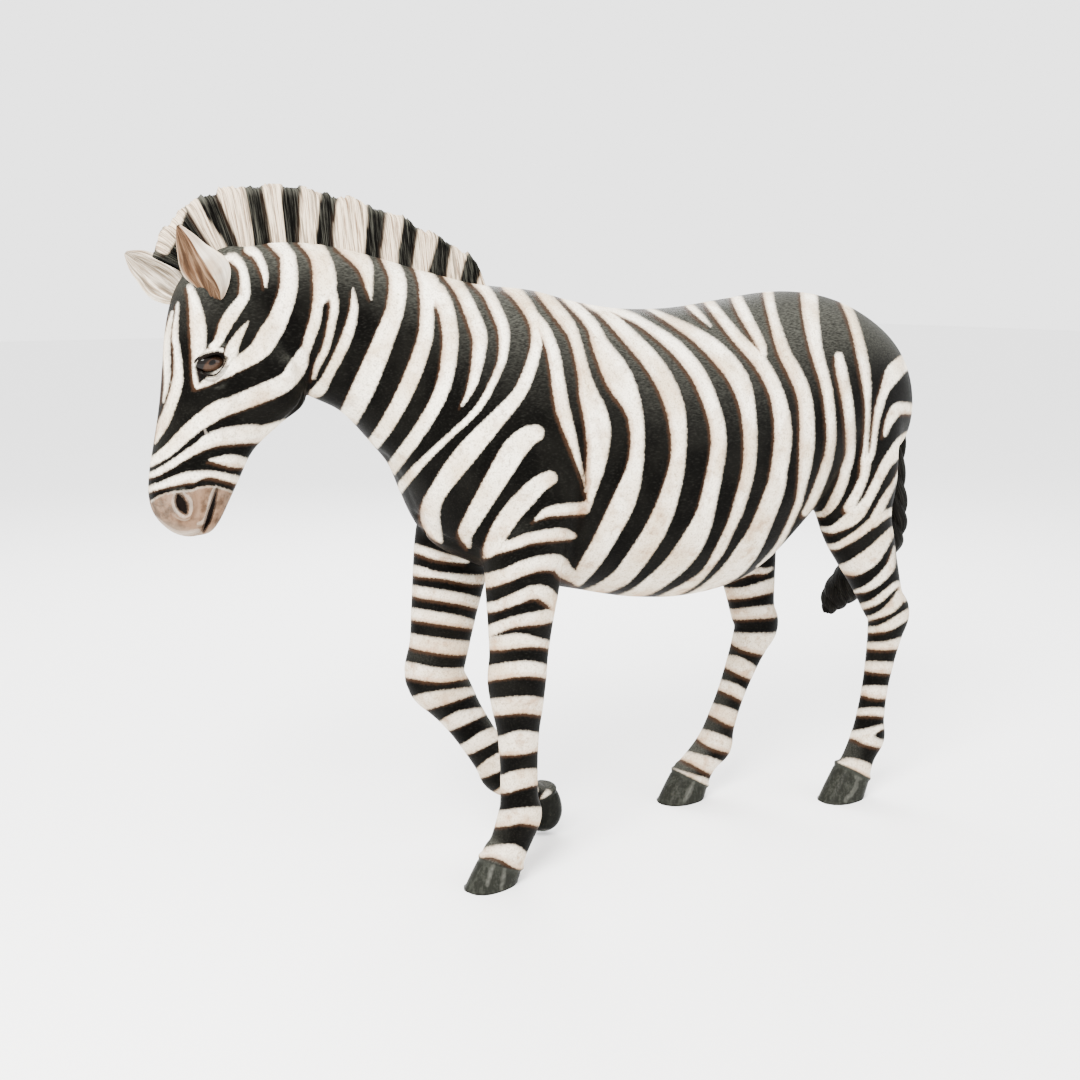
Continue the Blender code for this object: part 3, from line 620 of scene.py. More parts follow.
# Light strokes of the neck and head on the dark ground: across, down, half width in pixels
NECK_LIGHTS = [
    [(249, 249, 5), (258, 256, 4.2), (265, 273, 3), (266, 287, 0.7)],
    [(226, 259, 3), (234, 258, 5), (243, 270, 4), (245, 290, 5), (242, 300, 5.3), (228, 320, 6.3),
     (219, 340, 4), (213, 348, 4)],
    [(248, 322, 0.7), (238.5, 336, 3.8), (232, 350, 5.8), (230, 365, 6)],
    [(270, 235, 8), (285, 252, 7), (288.5, 262, 8), (288.5, 290, 8.5), (278, 320, 9.5), (269, 335, 10.5),
     (259, 350, 9.3), (240, 363, 6.8), (212, 379, 4.5), (197, 388, 1)],
    [(303, 236, 8), (320, 256, 9.5), (325, 285, 11.5), (318.5, 302, 5.3), (315.5, 320, 5.3),
     (306.5, 348, 4.5)],
    [(331, 290, 5), (334, 300, 4.2), (334, 312, 4), (327, 345, 3.3), (318, 364, 3), (313.5, 378, 1.5)],
    [(344, 243, 9), (362, 261, 8), (367, 272, 6.3), (371.5, 299, 0.7)],
    [(353, 289, 0.8), (354, 312, 4), (344.5, 343, 5), (328, 376, 4.3), (320, 389, 6), (313, 394, 4)],
    [(384, 251, 6), (395, 271, 7.5), (398, 284, 8.5), (396.5, 302, 8.8), (391, 322, 9), (365, 385, 11),
     (340, 434, 9)],
    [(414, 258, 6), (421, 268, 6.5), (429, 284, 10), (430, 296, 10), (427, 305, 6.5), (427, 325, 6.8),
     (423.5, 345, 7.3), (408.5, 385, 7.7), (387, 425, 7), (364, 456, 6)],
    [(437, 292, 9), (445, 306, 8), (449.5, 325, 7.5), (450.5, 345, 7.5), (444, 385, 6.8),
     (423.5, 425, 6.3), (383, 480, 6)],
    [(446, 271, 5.5), (462, 292, 6), (477, 326, 7.3), (480, 345, 6.7), (473.5, 382, 4.2),
     (462, 406, 0.8)],
    [(470, 274, 5.5), (487, 292, 5.2), (496, 309, 5.5), (503.5, 328, 5.5), (504, 348, 4.6),
     (499.5, 368, 3.4), (478.5, 408, 3), (443, 442, 2.6), (415, 470, 4), (396, 493, 4.5)],
    [(304, 352, 5), (299, 364, 8.5), (287, 381, 8.5), (266, 391.5, 9), (232, 405, 8), (218, 410, 8.5),
     (192, 428, 7), (170, 449, 5.8), (152, 461.5, 4), (142, 466, 4)],
    [(288, 424, 5.5), (275, 428, 5.5), (262, 433.5, 8.3), (245, 434, 9), (215, 438.5, 7.5),
     (193, 450.5, 4.2), (161, 470.5, 3), (141, 478, 2.5)],
    [(210, 460, 0.8), (231, 460.5, 6), (250, 463.5, 4.5), (262, 464, 4.5)],
    [(140, 492, 3.5), (160, 485.5, 3), (182, 478.5, 5), (194, 476.5, 5.3), (206, 474, 3.3),
     (218, 475, 3.3), (252, 484, 5)],
    [(172, 312, 1), (167, 337, 3.2), (166, 350, 3.8), (167, 380, 2.6), (163.5, 402, 0.7)],
    [(178, 303, 1), (175, 335, 3), (177, 350, 3), (178, 380, 5), (169, 410, 5), (162.5, 425, 5),
     (155, 443, 0.8)],
    [(190, 287, 3), (194, 300, 5), (198, 325, 7.7), (198.5, 350, 6.5), (194.5, 367, 2.2),
     (197, 386, 2.5)],
    # Painted highlight along the upper lid
    [(205, 353, 2.5), (213, 350.5, 2.5), (221, 350, 2)],
]

# Light strokes of the trunk, from the breast to the rump, and of the shoulder
TRUNK_LIGHTS = [
    [(503, 276, 6), (508, 286, 6), (516, 292, 6.3), (529, 309, 6.2), (535.5, 325, 5.5),
     (536.5, 343, 5.2), (532.5, 362, 5.5), (525, 382, 6), (514, 400, 6.5), (465, 455, 10.5),
     (438.5, 491, 8.5), (431, 508, 9.5), (431, 522, 9), (436, 534, 6), (441, 541, 2)],
    [(534, 316, 5), (543, 328, 6), (551, 345, 5.6), (555.5, 362, 6), (561.5, 402, 6.5), (567, 422, 6),
     (582.5, 475, 1.2), (586, 492, 0.8)],
    [(535, 284, 5), (565, 320, 6.5), (575, 338, 5.2), (584, 373, 5.8), (588.5, 393, 9), (595, 412, 11.5),
     (598.5, 430, 12.2), (598, 450, 10.5), (595, 470, 8.5), (588, 512, 0.8)],
    [(560, 291, 4.5), (571, 303, 4.5), (582, 313, 5), (594, 328, 6), (601, 345, 8.5), (619, 378, 13.5),
     (635.5, 415, 7.5), (636.5, 460, 7), (624.5, 500, 11.3), (602.5, 543, 9.8), (590, 563, 9),
     (578, 580, 6)],
    [(578, 296, 4), (592, 305, 4.5), (604, 312, 5), (630, 337, 7.5), (657, 368, 9), (675, 406, 9.2),
     (679, 450, 7), (671.5, 490, 8.7), (655.5, 530, 10.3), (629, 569, 9.5), (614, 582, 7.5),
     (597, 590, 5), (580, 596, 5), (560, 600, 5)],
    [(594, 302, 3), (628, 315, 4.3), (645, 324, 4.5), (676, 347, 6.8), (700, 377, 7.5),
     (714.5, 413, 7.3), (718.5, 435, 7.4), (717.5, 458, 7.4), (707, 508, 8.2), (699, 530, 10.5),
     (686, 552, 11.3), (669, 571, 9.5), (648, 587, 7.5), (632, 594, 4), (612, 601, 4), (590, 606, 4)],
    [(636, 303, 2), (652, 310, 2), (690.5, 331, 6), (716.5, 351, 9), (739, 379, 9.5), (749, 415, 7),
     (749.5, 465, 6), (738.5, 508, 5.5), (730, 529, 4.3), (720.5, 549, 4.5), (706, 571, 3),
     (691, 584, 4), (660, 600, 4), (640, 606, 4)],
    [(684, 300, 3.5), (700, 315, 3), (711, 326, 0.7)],
    [(702, 293, 4.5), (738, 338, 5.5), (761, 363, 6.8), (777, 394, 7), (783.5, 432, 8.4), (779, 472, 8),
     (774.5, 492, 9), (758.5, 532, 9.5), (746, 553, 10.8), (731, 571, 9), (703, 590, 4), (670, 606, 4)],
    [(732, 287, 5), (742.5, 310, 5.8), (760, 342, 4.5), (764, 354, 3)],
    [(766, 280, 5.5), (772, 312, 4.7), (783.5, 350, 6), (793.5, 369, 6.7), (802, 388, 6.8),
     (806.5, 409, 7), (807, 450, 7), (801.5, 490, 3.8), (796, 510, 3), (778, 546, 2.3), (757, 567, 0.7)],
    [(808, 283, 8.5), (811, 315, 8), (816.5, 350, 6), (827.5, 390, 5), (831.5, 430, 4.5),
     (830.2, 450, 4.2), (825.2, 470, 4.8), (813, 500, 4.2), (805, 513, 3)],
    [(839, 356, 4), (841.5, 370, 5.3), (849, 410, 5), (850.7, 450, 4.3), (845.7, 470, 4.6),
     (843.5, 480, 4.7), (835, 500, 4.7), (826, 512, 3.2), (820, 514.5, 2.5), (814, 514, 1.5)],
    [(838, 290, 3.5), (853, 320, 4.5), (865, 369, 5), (868, 410, 2.3), (865.5, 450, 2.3),
     (866, 460, 4.8), (863, 480, 4), (849, 508, 5)],
    [(912, 358, 8), (900, 366, 8), (893, 374, 8), (885, 390, 4.3), (879, 409, 3.7), (875.5, 428, 2.7),
     (873, 450, 2.6), (869, 458, 3.5)],
    [(922, 410, 5), (900, 408, 6), (893, 415, 5), (888, 425, 3.3), (885, 435, 1.5)],
    [(918, 436, 9), (905, 444, 9), (887, 463, 5), (868, 500, 4.5), (854.5, 516, 7), (838, 527, 4.5),
     (830, 529.7, 3.3), (819, 528, 1.5)],
    [(901.5, 463, 0.6), (896.5, 478, 1.5), (884.5, 500, 3.8), (872.5, 521.5, 4), (857, 534.5, 3.8),
     (841, 544.2, 3.2), (834, 546.6, 3), (828, 546.5, 2.6)],
    [(892, 511, 3.3), (880, 518, 4), (874, 523, 4.2)],
    [(893, 530, 3.5), (873, 555, 8.5), (858, 565.5, 8.5), (849, 568.5, 6.5), (842, 567.5, 3.5)],
    [(536, 433, 8), (527, 437, 10), (515, 449, 11.5), (503, 468, 11), (470, 524, 8), (466, 535, 6),
     (469, 546, 2)],
    [(550, 478, 7), (541, 483, 8), (531, 492, 9), (508, 518, 9.5), (492, 546, 7.5), (487, 555, 3)],
    [(535, 520, 1), (551, 511, 4.8), (584, 508, 6)],
    [(484, 557, 1), (498, 549, 4), (515, 543.5, 5), (530, 538, 5.2), (560, 534, 6), (573, 536, 3)],
]

# Light rings of the left legs
LEFT_LEG_LIGHTS = [
    [(480, 580, 7), (490, 580, 7), (510, 573.8, 6.8), (520, 569, 7), (540, 563.2, 7.2), (558, 563, 8),
     (565, 571, 7.5), (572, 576, 6)],
    [(484, 608, 5), (500, 605, 5), (533, 592, 6.3), (548, 595.5, 7.5), (556, 606, 5)],
    [(489, 631, 5.5), (511, 622.5, 5), (540, 617.5, 6.5), (552, 615.5, 6)],
    [(487, 643.5, 6), (500, 643, 7), (520, 640.3, 7), (540, 642.5, 4.3), (552, 645.5, 4)],
    [(487, 673.5, 7.5), (520, 668.5, 7.6), (540, 669.8, 7), (552, 674, 6)],
    [(489, 707.5, 8.5), (525, 704.5, 8.5), (550, 708, 8.8)],
    [(494, 746, 9), (505, 745.2, 10), (521, 742.3, 11.8), (543, 741.5, 8.2)],
    [(496, 784.3, 8.8), (507, 783.5, 9), (513, 781, 9.5), (530, 777.2, 8.7), (543, 776.5, 7.5)],
    [(494, 818.7, 8.2), (506, 818, 8), (522, 815.3, 7.6), (543, 816.7, 10.3)],
    [(480, 854, 4), (492, 851.3, 5.5), (508, 853, 9), (515, 856, 10.5), (524, 863, 9)],
    [(855, 591.5, 1.5), (867, 588.3, 3), (879, 580, 4), (889.5, 568.5, 4.3), (892.5, 561, 3.3),
     (894.5, 547, 0.8)],
    [(855, 608, 3), (869, 604.3, 3), (880, 598.5, 3.5), (895, 585.5, 3), (901, 584.5, 3), (904, 590, 3),
     (904.5, 598, 3.5)],
    [(861, 620.5, 2.2), (877, 615.7, 2.5), (890, 608.5, 4.7), (900, 597, 5.5), (902.5, 590, 3.8)],
    [(861, 629.8, 3), (877, 629.2, 3), (891, 624.8, 4.6), (911, 612, 4.5)],
    [(858, 645, 3), (884, 645.8, 4), (905, 642.3, 6)],
    [(864, 666, 4.8), (888, 667.7, 5.8), (899, 667, 5)],
    [(861, 690.5, 4.3), (878, 692, 6.5), (893, 692.3, 6)],
    [(856, 712, 3.2), (876, 711.5, 4.2), (889, 713, 4)],
    [(850, 734.5, 3.5), (865, 735, 6), (876, 729, 3), (885, 726, 2.2)],
    [(864, 738, 5.5), (876, 742.3, 4.4), (884, 744, 4.3)],
    [(840, 764.5, 3.2), (848, 762.8, 5), (862, 767, 6.2), (868, 770.5, 6.5), (874, 774, 5)],
]

# Light rings of the right legs
RIGHT_LEG_LIGHTS = [
    [(410, 547, 5), (420, 549.3, 4.5), (440, 556.2, 4.2), (468, 561.3, 1.7)],
    [(409, 569, 5), (420, 571.5, 5), (440, 575.2, 3), (470, 579.2, 4.4), (482, 579.5, 4.6)],
    [(408, 589, 5), (420, 592, 5.5), (460, 598.5, 5.5), (482, 604, 5.7)],
    [(407, 613, 6), (460, 621.5, 5.5), (479, 626, 3.5)],
    [(406, 638.5, 6.5), (420, 642.5, 7.3), (450, 647, 7.5), (472, 648, 6.7)],
    [(404, 669, 8), (440, 675, 7), (472, 672.3, 5.2)],
    [(416, 704, 8), (430, 700.3, 8.2), (474, 690.5, 3.8)],
    [(440, 728, 6), (460, 718.5, 7.3), (486, 710.5, 3.8)],
    [(460, 751, 5.5), (471, 746.5, 6.3), (485, 738.5, 7.5), (502, 730.5, 6)],
    [(478, 774, 5), (493, 765.3, 8), (510, 756, 8)],
    [(490, 797, 3.5), (500, 794, 5), (522, 776, 4)],
    [(508, 816, 4.5), (520, 803, 5), (534, 790, 4.5)],
    [(530, 824, 3), (537, 813, 3.5), (548, 793, 3.5)],
    [(733, 580.5, 0.7), (748, 572.3, 2.8), (756, 570.6, 3), (765, 571, 2.8), (772, 568.5, 1.5)],
    [(719, 593, 6), (730, 593.6, 5.5), (750, 591.6, 5.6), (780, 583, 7)],
    [(725, 613.5, 4.5), (740, 614, 5.5), (774, 611, 6.5)],
    [(728, 636, 4), (745, 641.5, 8.7), (769, 644, 11), (780, 641, 9.5)],
    [(726, 661, 6), (736, 664, 8), (749, 670.5, 7.5), (757, 676, 5.5)],
    [(718, 684, 5.3), (735, 690, 6), (750, 699.5, 5)],
    [(707, 707, 5.5), (731, 717, 8), (740, 722, 5)],
    [(694, 731, 4), (711, 739, 7.5), (730, 746, 7)],
    [(683, 755, 4.5), (694, 758.5, 5.8), (715, 767, 8), (724, 769, 5)],
    [(672, 771, 3), (703, 781.3, 4), (712, 785, 3)],
]

# Light bands of the mane
MANE_LIGHTS = [
    [(182, 211, 4), (168, 236, 8.5), (163, 244, 8), (165, 250, 4)],
    [(192, 203, 7), (201, 219, 6), (217, 243, 6.3), (225, 255, 4)],
    [(230, 188, 14), (243.5, 232, 8.7), (247, 250, 6.5)],
    [(272, 183, 10), (275.3, 215, 7.2), (280, 246, 7)],
    [(310.5, 187, 9.5), (310.5, 200, 9.7), (308, 230, 8), (308, 245, 8)],
    [(352.5, 194, 14), (350.5, 225, 16.2), (349, 254, 14.5)],
    [(395, 210, 8), (392, 240, 8.3), (390, 250, 8), (390, 264, 7)],
    [(429, 224, 9.5), (427, 240, 9.8), (420, 273, 7.5)],
    [(462, 242, 8.5), (454, 272, 7), (452, 284, 6.5)],
    [(488, 264, 4), (485, 276, 4.5), (481, 288, 5)],
]

# The bare muzzle, and the dark lines of the eye, the nostril and the mouth; those of the nostril and the
# mouth are dark paint together with painted shade of their hollows
MUZZLE = [
    [(148, 520, 13), (165, 512, 17), (180, 512, 21), (195, 515, 25), (210, 514, 28), (224, 514, 24)],
]
DARK_LINES = [
    [(196.5, 367, 1), (199, 360.5, 2), (204, 356, 2.3), (216, 353.6, 2.6), (221, 354.5, 2.2),
     (225.5, 359.5, 1.2)],
    [(198.6, 363, 2), (199, 370, 2.9), (199.5, 381, 0.5)],
    [(199.5, 368, 1.4), (204, 373, 1.7), (209, 375.5, 1.7), (215, 374.8, 1.6), (220, 371, 1.5),
     (225, 363.5, 1.3), (226.5, 358, 0.8)],
    [(205, 379.5, 0.3), (211, 380.5, 0.7), (217, 378.8, 0.7), (223, 373.5, 0.6), (228, 366, 0.3)],
    # Mouth and nostril: dark paint with painted shade of their hollows
    [(217, 489, 0.7), (210.3, 513, 3.1), (203.5, 530.6, 1.3)],
    [(178.3, 496, 2.4), (181.2, 504.5, 5.6), (186, 513, 2)],
]

# Painted shade, soft and brown, in the folds and creases; and painted highlights along the veins of the
# cheek and the rims of the nostril and lips
SHADES = [
    [(192, 489, 0.5), (196.5, 503, 2.2), (191, 518, 2.4), (184, 523, 1.5)],
    [(222, 505, 1), (218, 515, 3), (213, 524, 3)],
    [(306, 349, 1), (312, 364, 3), (309, 385, 3), (305, 402, 3), (290, 421, 2.5), (274, 430, 1)],
    [(588, 440, 2), (584, 490, 6), (582, 515, 5), (575, 540, 2)],
    [(378, 545, 2), (408, 537, 5), (440, 548, 5), (480, 562, 3)],
    [(157, 499, 2), (163, 495, 3.5), (170, 493, 1)],
    [(172, 515, 1), (180, 520, 2.5), (190, 520, 1)],
    [(200, 500, 1), (203, 508, 3), (201, 516, 1.5)],
    [(222, 500, 2), (221, 512, 3), (215, 524, 2)],
]
# Painted highlights: pale lines on the cheek's veins and the rims of the nostril and lips
VEIN_AND_RIM_HIGHLIGHTS = [
    [(205, 410, 0.1), (203.5, 427, 0.6), (214, 445, 0.2)],
    [(175, 494.5, 0.7), (173.5, 502, 1.2), (176.5, 510.5, 1.4), (183, 516.5, 1.2), (189, 515, 0.7)],
    [(184, 493.5, 0.5), (189.5, 499, 0.9), (191.5, 507, 0.9), (190, 514, 0.5)],
    [(216, 486, 0.4), (211.5, 496, 1), (206, 518.6, 1.2), (198, 524, 0.5)],
    [(156, 518, 0.8), (167, 528, 1.6), (181, 534, 2), (198, 530.6, 1.2)],
]

# Painted highlights on the horn of the hooves, with lighter streaks of the horn
GLINTS_AND_STREAKS = [
    [(495, 862, 0.5), (491, 872, 1.5), (487, 885, 1)],
    [(505, 868, 0.5), (503, 880, 1.5), (501, 890, 0.5)],
    [(694, 782, 0.5), (689, 792, 2), (685, 801, 1)],
    [(856, 776.5, 0.6), (858.5, 778.5, 1.4), (861, 779, 0.5)],
    [(857, 782, 0.8), (855, 789, 1.4), (845, 801, 1)],
    [(541, 830.5, 0.3), (548, 831.5, 1.3), (556, 829.5, 0.8)],
]


def smooth_rows(rows, steps):
    """More rows between the given ones, on a smooth curve through them."""
    rows = np.array(rows, float)
    ends = np.vstack([2 * rows[0] - rows[1], rows, 2 * rows[-1] - rows[-2]])
    made = []
    for before, start, stop, after in zip(ends, ends[1:], ends[2:], ends[3:]):
        for share in np.arange(steps) / steps:
            slope = (stop - before) / 2
            end_slope = (after - start) / 2
            rise = stop - start
            made.append(
                start + slope * share
                + (3 * rise - 2 * slope - end_slope) * share ** 2
                + (slope + end_slope - 2 * rise) * share ** 3
            )
    made.append(rows[-1])
    return np.array(made)


def ring(centre, front, side, ahead, behind, half, power):
    """One closed section: an oval with its own reach ahead, behind and to the sides."""
    points = []
    for i in range(SIDES):
        turn = 2 * math.pi * i / SIDES
        along, across = math.cos(turn), math.sin(turn)
        reach = ahead if along > 0 else behind
        u = math.copysign(abs(along) ** (2 / power), along) * reach
        v = math.copysign(abs(across) ** (2 / power), across) * half
        points.append(centre + front * u + side * v)
    return points


def skin(shells, rings):
    """A closed shell over a row of rings, with a rounded end at each end."""
    rows = [[shells.verts.new(point) for point in points] for points in rings]
    for row, following in zip(rows, rows[1:]):
        for i in range(SIDES):
            j = (i + 1) % SIDES
            shells.faces.new((row[i], row[j], following[j], following[i]))
    for row, backwards in ((rows[0], True), (rows[-1], False)):
        tip = shells.verts.new(sum((v.co for v in row), Vector()) / SIDES)
        for i in range(SIDES):
            pair = (row[i], row[(i + 1) % SIDES])
            shells.faces.new((pair[1], pair[0], tip) if backwards else (pair[0], pair[1], tip))


def stations(shells, rows, power, widen=1.0):
    """A form given by its outline in side view: front point, back point, half width, level."""
    rings = []
    for fx, fz, bx, bz, half, level in smooth_rows(rows, ROW_STEPS):
        front_point = Vector((fx, 0, fz))
        back_point = Vector((bx, 0, bz))
        depth = (front_point - back_point).length
        front = (front_point - back_point) / depth
        centre = back_point + front * depth * level
        ahead = depth * (1 - level)
        rings.append(ring(centre, front, Vector((0, 1, 0)), ahead, depth - ahead, half * widen, power))
    skin(shells, rings)


def tube(shells, rows, power=2.0, side=(0, 1, 0)):
    """A form swept along a line: x, y, z, reach ahead, reach behind and half width."""
    rows = smooth_rows(rows, ROW_STEPS)
    centres = rows[:, :3]
    slopes = np.gradient(centres, axis=0)
    rings = []
    for (x, y, z, ahead, behind, half), slope in zip(rows, slopes):
        along = Vector(slope).normalized()
        across = Vector(side) - along * along.dot(Vector(side))
        across.normalize()
        front = across.cross(along)
        rings.append(ring(Vector((x, y, z)), front, across, ahead, behind, half, power))
    skin(shells, rings)


def mass(shells, centre, radii, pitch, lean):
    """A rounded muscle: a ball stretched to its radii, pitched about Y and leant about X."""
    place = (
        Matrix.Translation(centre)
        @ Matrix.Rotation(math.radians(pitch), 4, "Y")
        @ Matrix.Rotation(math.radians(lean), 4, "X")
        @ Matrix.Diagonal((*radii, 1))
    )
    bmesh.ops.create_icosphere(shells, subdivisions=4, radius=1, matrix=place)


def add_leg(shells, name):
    """One leg, with the fore or hind profile laid along its own joints, and its hoof."""
    sign = 1 if name.startswith("right") else -1
    spread = LEG_SPREAD / 2 / STEP
    joints = [Vector((x, sign * (spread + y), z)) for x, y, z in LEGS[name]]
    profile = FORE_PROFILE if name.endswith("fore") else HIND_PROFILE
    rows = []
    for place, ahead, behind, half in profile:
        bone = min(int(place), len(joints) - 2)
        centre = joints[bone].lerp(joints[bone + 1], place - bone)
        if joints[-1].z > RAISED_ABOVE and place > FETLOCK_PLACE:
            behind *= FOLDED_FETLOCK
        rows.append((*centre, *[reach * LEG_GIRTH[name] for reach in (ahead, behind, half)]))
    tube(shells, rows)
    add_hoof(shells, name, joints[-1])


def add_hoof(shells, name, coronet):
    """A hoof below the coronet, widening to its sole; it hangs from the fold of a raised leg."""
    turn = math.radians(HOOF_TURN[name])
    length = HOOF_LENGTH / STEP
    width = HOOF_WIDTH / STEP
    raised = coronet.z > RAISED_ABOVE
    down = Vector((RAISED_LEAN if raised else STANDING_LEAN, 0, -1)).normalized()
    depth = RAISED_DEPTH if raised else coronet.z + SOLE_ALLOWANCE
    rows = []
    for share, long_share, wide_share in HOOF_RAISED if raised else HOOF_STANDING:
        centre = coronet + down * depth * share
        toe = length * long_share * TOE_SHARE
        rows.append((*centre, toe, length * long_share - toe, width / 2 * wide_share))
    tube(shells, rows, HOOF_SQUARENESS, (-math.sin(turn), math.cos(turn), 0))


def link(name, data):
    """A new object in the scene."""
    made = bpy.data.objects.new(name, data)
    bpy.context.collection.objects.link(made)
    return made


def applied(mesh, kind, **settings):
    """The mesh after one modifier."""
    helper = link("helper", mesh)
    modifier = helper.modifiers.new(kind, kind)
    for key, value in settings.items():
        setattr(modifier, key, value)
    graph = bpy.context.evaluated_depsgraph_get()
    made = bpy.data.meshes.new_from_object(helper.evaluated_get(graph))
    bpy.data.objects.remove(helper)
    return made


def relax(points, edges, weight, rounds):
    """Draw each point towards the middle of its neighbours, as far as its weight says."""
    count = np.bincount(edges.ravel(), minlength=len(points))
    for _ in range(rounds):
        total = np.zeros_like(points)
        for axis in range(3):
            total[:, axis] = np.bincount(edges[:, 0], points[edges[:, 1], axis], len(points))
            total[:, axis] += np.bincount(edges[:, 1], points[edges[:, 0], axis], len(points))
        points += weight[:, None] * 0.5 * (total / count[:, None] - points)


def brush(points, path, reach):
    """How strongly a stroke along a path works on each point, fading out at its two ends."""
    if len(path) == 1:
        away = np.linalg.norm(points - path[0], axis=1)
        return np.clip(1 - (away / reach) ** 2, 0, 1) ** 2
    strength = np.zeros(len(points))
    for i, (start, stop) in enumerate(zip(path, path[1:])):
        run = stop - start
        share = np.clip((points - start) @ run / (run @ run), 0, 1)
        away = np.linalg.norm(points - start - share[:, None] * run, axis=1)
        fade = np.clip(np.sin(np.pi * (i + share) / (len(path) - 1)) * 2, 0, 1)
        strength = np.maximum(strength, fade * np.clip(1 - (away / reach) ** 2, 0, 1) ** 2)
    return strength




def placed(points):
    """Points in steps of the tables, as points in metres of the solid's place, inside its box."""
    points = (np.array(points) + (MIDDLE, 0, 0)) * STEP
    low, high = np.array(cad_box)
    return np.clip(points, low + BOX_MARGIN, high - BOX_MARGIN)


def read(items, field, width, kind=float):
    """One field of all the items, in rows of its width."""
    values = np.empty(len(items) * width, kind)
    items.foreach_get(field, values)
    return values.reshape(-1, width) if width > 1 else values


def mesh_points(mesh):
    """Places of a mesh's vertices."""
    return read(mesh.vertices, "co", 3)


def mesh_normals(mesh):
    """Directions in which a mesh's vertices face."""
    return read(mesh.vertex_normals, "vector", 3)


def mesh_edges(mesh):
    """Pairs of vertices joined by an edge."""
    return read(mesh.edges, "vertices", 2, int)


def set_points(mesh, points):
    """Move a mesh's vertices."""
    mesh.vertices.foreach_set("co", np.ascontiguousarray(points).ravel())
    mesh.update()


def store(mesh, name, values):
    """Keep one value, or one vector, for each vertex."""
    kind = "FLOAT" if np.ndim(values) == 1 else "FLOAT_VECTOR"
    layer = mesh.attributes.new(name, kind, "POINT")
    layer.data.foreach_set("value" if kind == "FLOAT" else "vector", np.ravel(values).astype(float))


def piece(name, mesh, material):
    """An object of the figure that stands for the cast solid."""
    mesh.materials.append(material)
    mesh.shade_smooth()
    made = link(name, mesh)
    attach(made, "root")
    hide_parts("zebra")


# Seen from the camera


def seen(points):
    """Where points in metres fall in the view, in pixels across and down."""
    turn, pitch = math.radians(CAMERA_TURN), math.radians(CAMERA_PITCH)
    ahead = np.array([-math.sin(turn), math.cos(turn), 0.0])
    right = np.array([math.cos(turn), math.sin(turn), 0.0])
    up = ahead * math.sin(pitch) + (0, 0, math.cos(pitch))
    ahead = ahead * math.cos(pitch) - (0, 0, math.sin(pitch))
    away = points - np.array(CAMERA_PLACE)
    scale = CAMERA_LENS / CAMERA_SENSOR * FRAME / (away @ ahead)
    return np.stack([FRAME / 2 + scale * (away @ right), FRAME / 2 - scale * (away @ up)], -1)


def depth_inside(spots, strokes, reach=PAINT_REACH):
    """How deep each spot lies inside the nearest stroke, in pixels, down to minus the reach."""
    depth = np.full(len(spots), -reach)
    for stroke in strokes:
        rows = smooth_rows(stroke, STROKE_STEPS) if len(stroke) > 2 else np.array(stroke, float)
        margin = rows[:, 2].max() + reach
        low, high = rows[:, :2].min(0) - margin, rows[:, :2].max(0) + margin
        near = np.flatnonzero(((spots > low) & (spots < high)).all(axis=1))
        if not len(near):
            continue
        close = spots[near]
        best = np.full(len(near), -reach)
        for start, stop in zip(rows, rows[1:]):
            run = stop[:2] - start[:2]
            share = np.clip((close - start[:2]) @ run / (run @ run), 0, 1)
            away = np.hypot(*(close - start[:2] - share[:, None] * run).T)
            best = np.maximum(best, start[2] + (stop[2] - start[2]) * share - away)
        depth[near] = np.maximum(depth[near], best)
    return depth


def smooth(value, low, high):
    """A soft step from 0 at low to 1 at high."""
    share = np.clip((value - low) / (high - low), 0, 1)
    return share * share * (3 - 2 * share)


def near_path(points, path):
    """Distance in steps from points in steps to a path."""
    away = np.full(len(points), np.inf)
    for start, stop in zip(path, path[1:]):
        run = stop - start
        share = np.clip((points - start) @ run / (run @ run), 0, 1)
        away = np.minimum(away, np.linalg.norm(points - start - share[:, None] * run, axis=1))
    return away


def leg_path(name):
    """Joints of one leg in steps."""
    sign = 1 if name.startswith("right") else -1
    return np.array([(x, sign * (LEG_SPREAD / 2 / STEP + y), z) for x, y, z in LEGS[name]])


def on_left(points):
    """The same points, with those of the right side mirrored to the left."""
    return np.stack([points[:, 0], -np.abs(points[:, 1]), points[:, 2]], -1)


def paint(points, normals, strokes):
    """How deep points in metres lie in the light paint, and the same a little up to the right."""
    toward = np.array(CAMERA_PLACE) - points
    facing = (normals * toward).sum(1) / np.linalg.norm(toward, axis=1)
    spot, spot_mirrored = seen(points), seen(on_left(points))
    far = smooth(points[:, 1], *RIGHT_SIDE) * (1 - smooth(facing, *TURNED_AWAY))
    tables = points / STEP - (MIDDLE, 0, 0)
    right_leg, hidden, rings = np.zeros(len(points)), np.zeros(len(points)), np.zeros(len(points))
    for name, (start, pitch, slant, deep) in HIDDEN_RINGS.items():
        close = 1 - smooth(near_path(tables, leg_path(name)), *LEG_REACH)
        right_leg = np.maximum(right_leg, close * (1 - smooth(tables[:, 2], *LEG_TOP)))
        covered = (close > 0) & (tables[:, 2] > start)
        hidden = np.where(covered, 1 - smooth(facing, *HIDDEN_TURN), hidden)
        turn = (tables[:, 2] + slant * (tables[:, 0] - LEGS[name][0][0])) / pitch
        rings = np.where(covered, deep * np.cos(2 * math.pi * turn) - 1, rings)
    right_leg *= smooth(tables[:, 1], *RIGHT_LEG_SIDE)
    found = []
    for shift in ((0, 0), FRINGE_SHIFT):
        direct = depth_inside(spot + shift, strokes)
        other = depth_inside(spot_mirrored + shift, strokes)
        body = direct * (1 - far) + other * far
        leg = depth_inside(spot + shift, RIGHT_LEG_LIGHTS) * (1 - hidden) + rings * hidden
        found.append(body * (1 - right_leg) + leg * right_leg)
    return found


# Skin


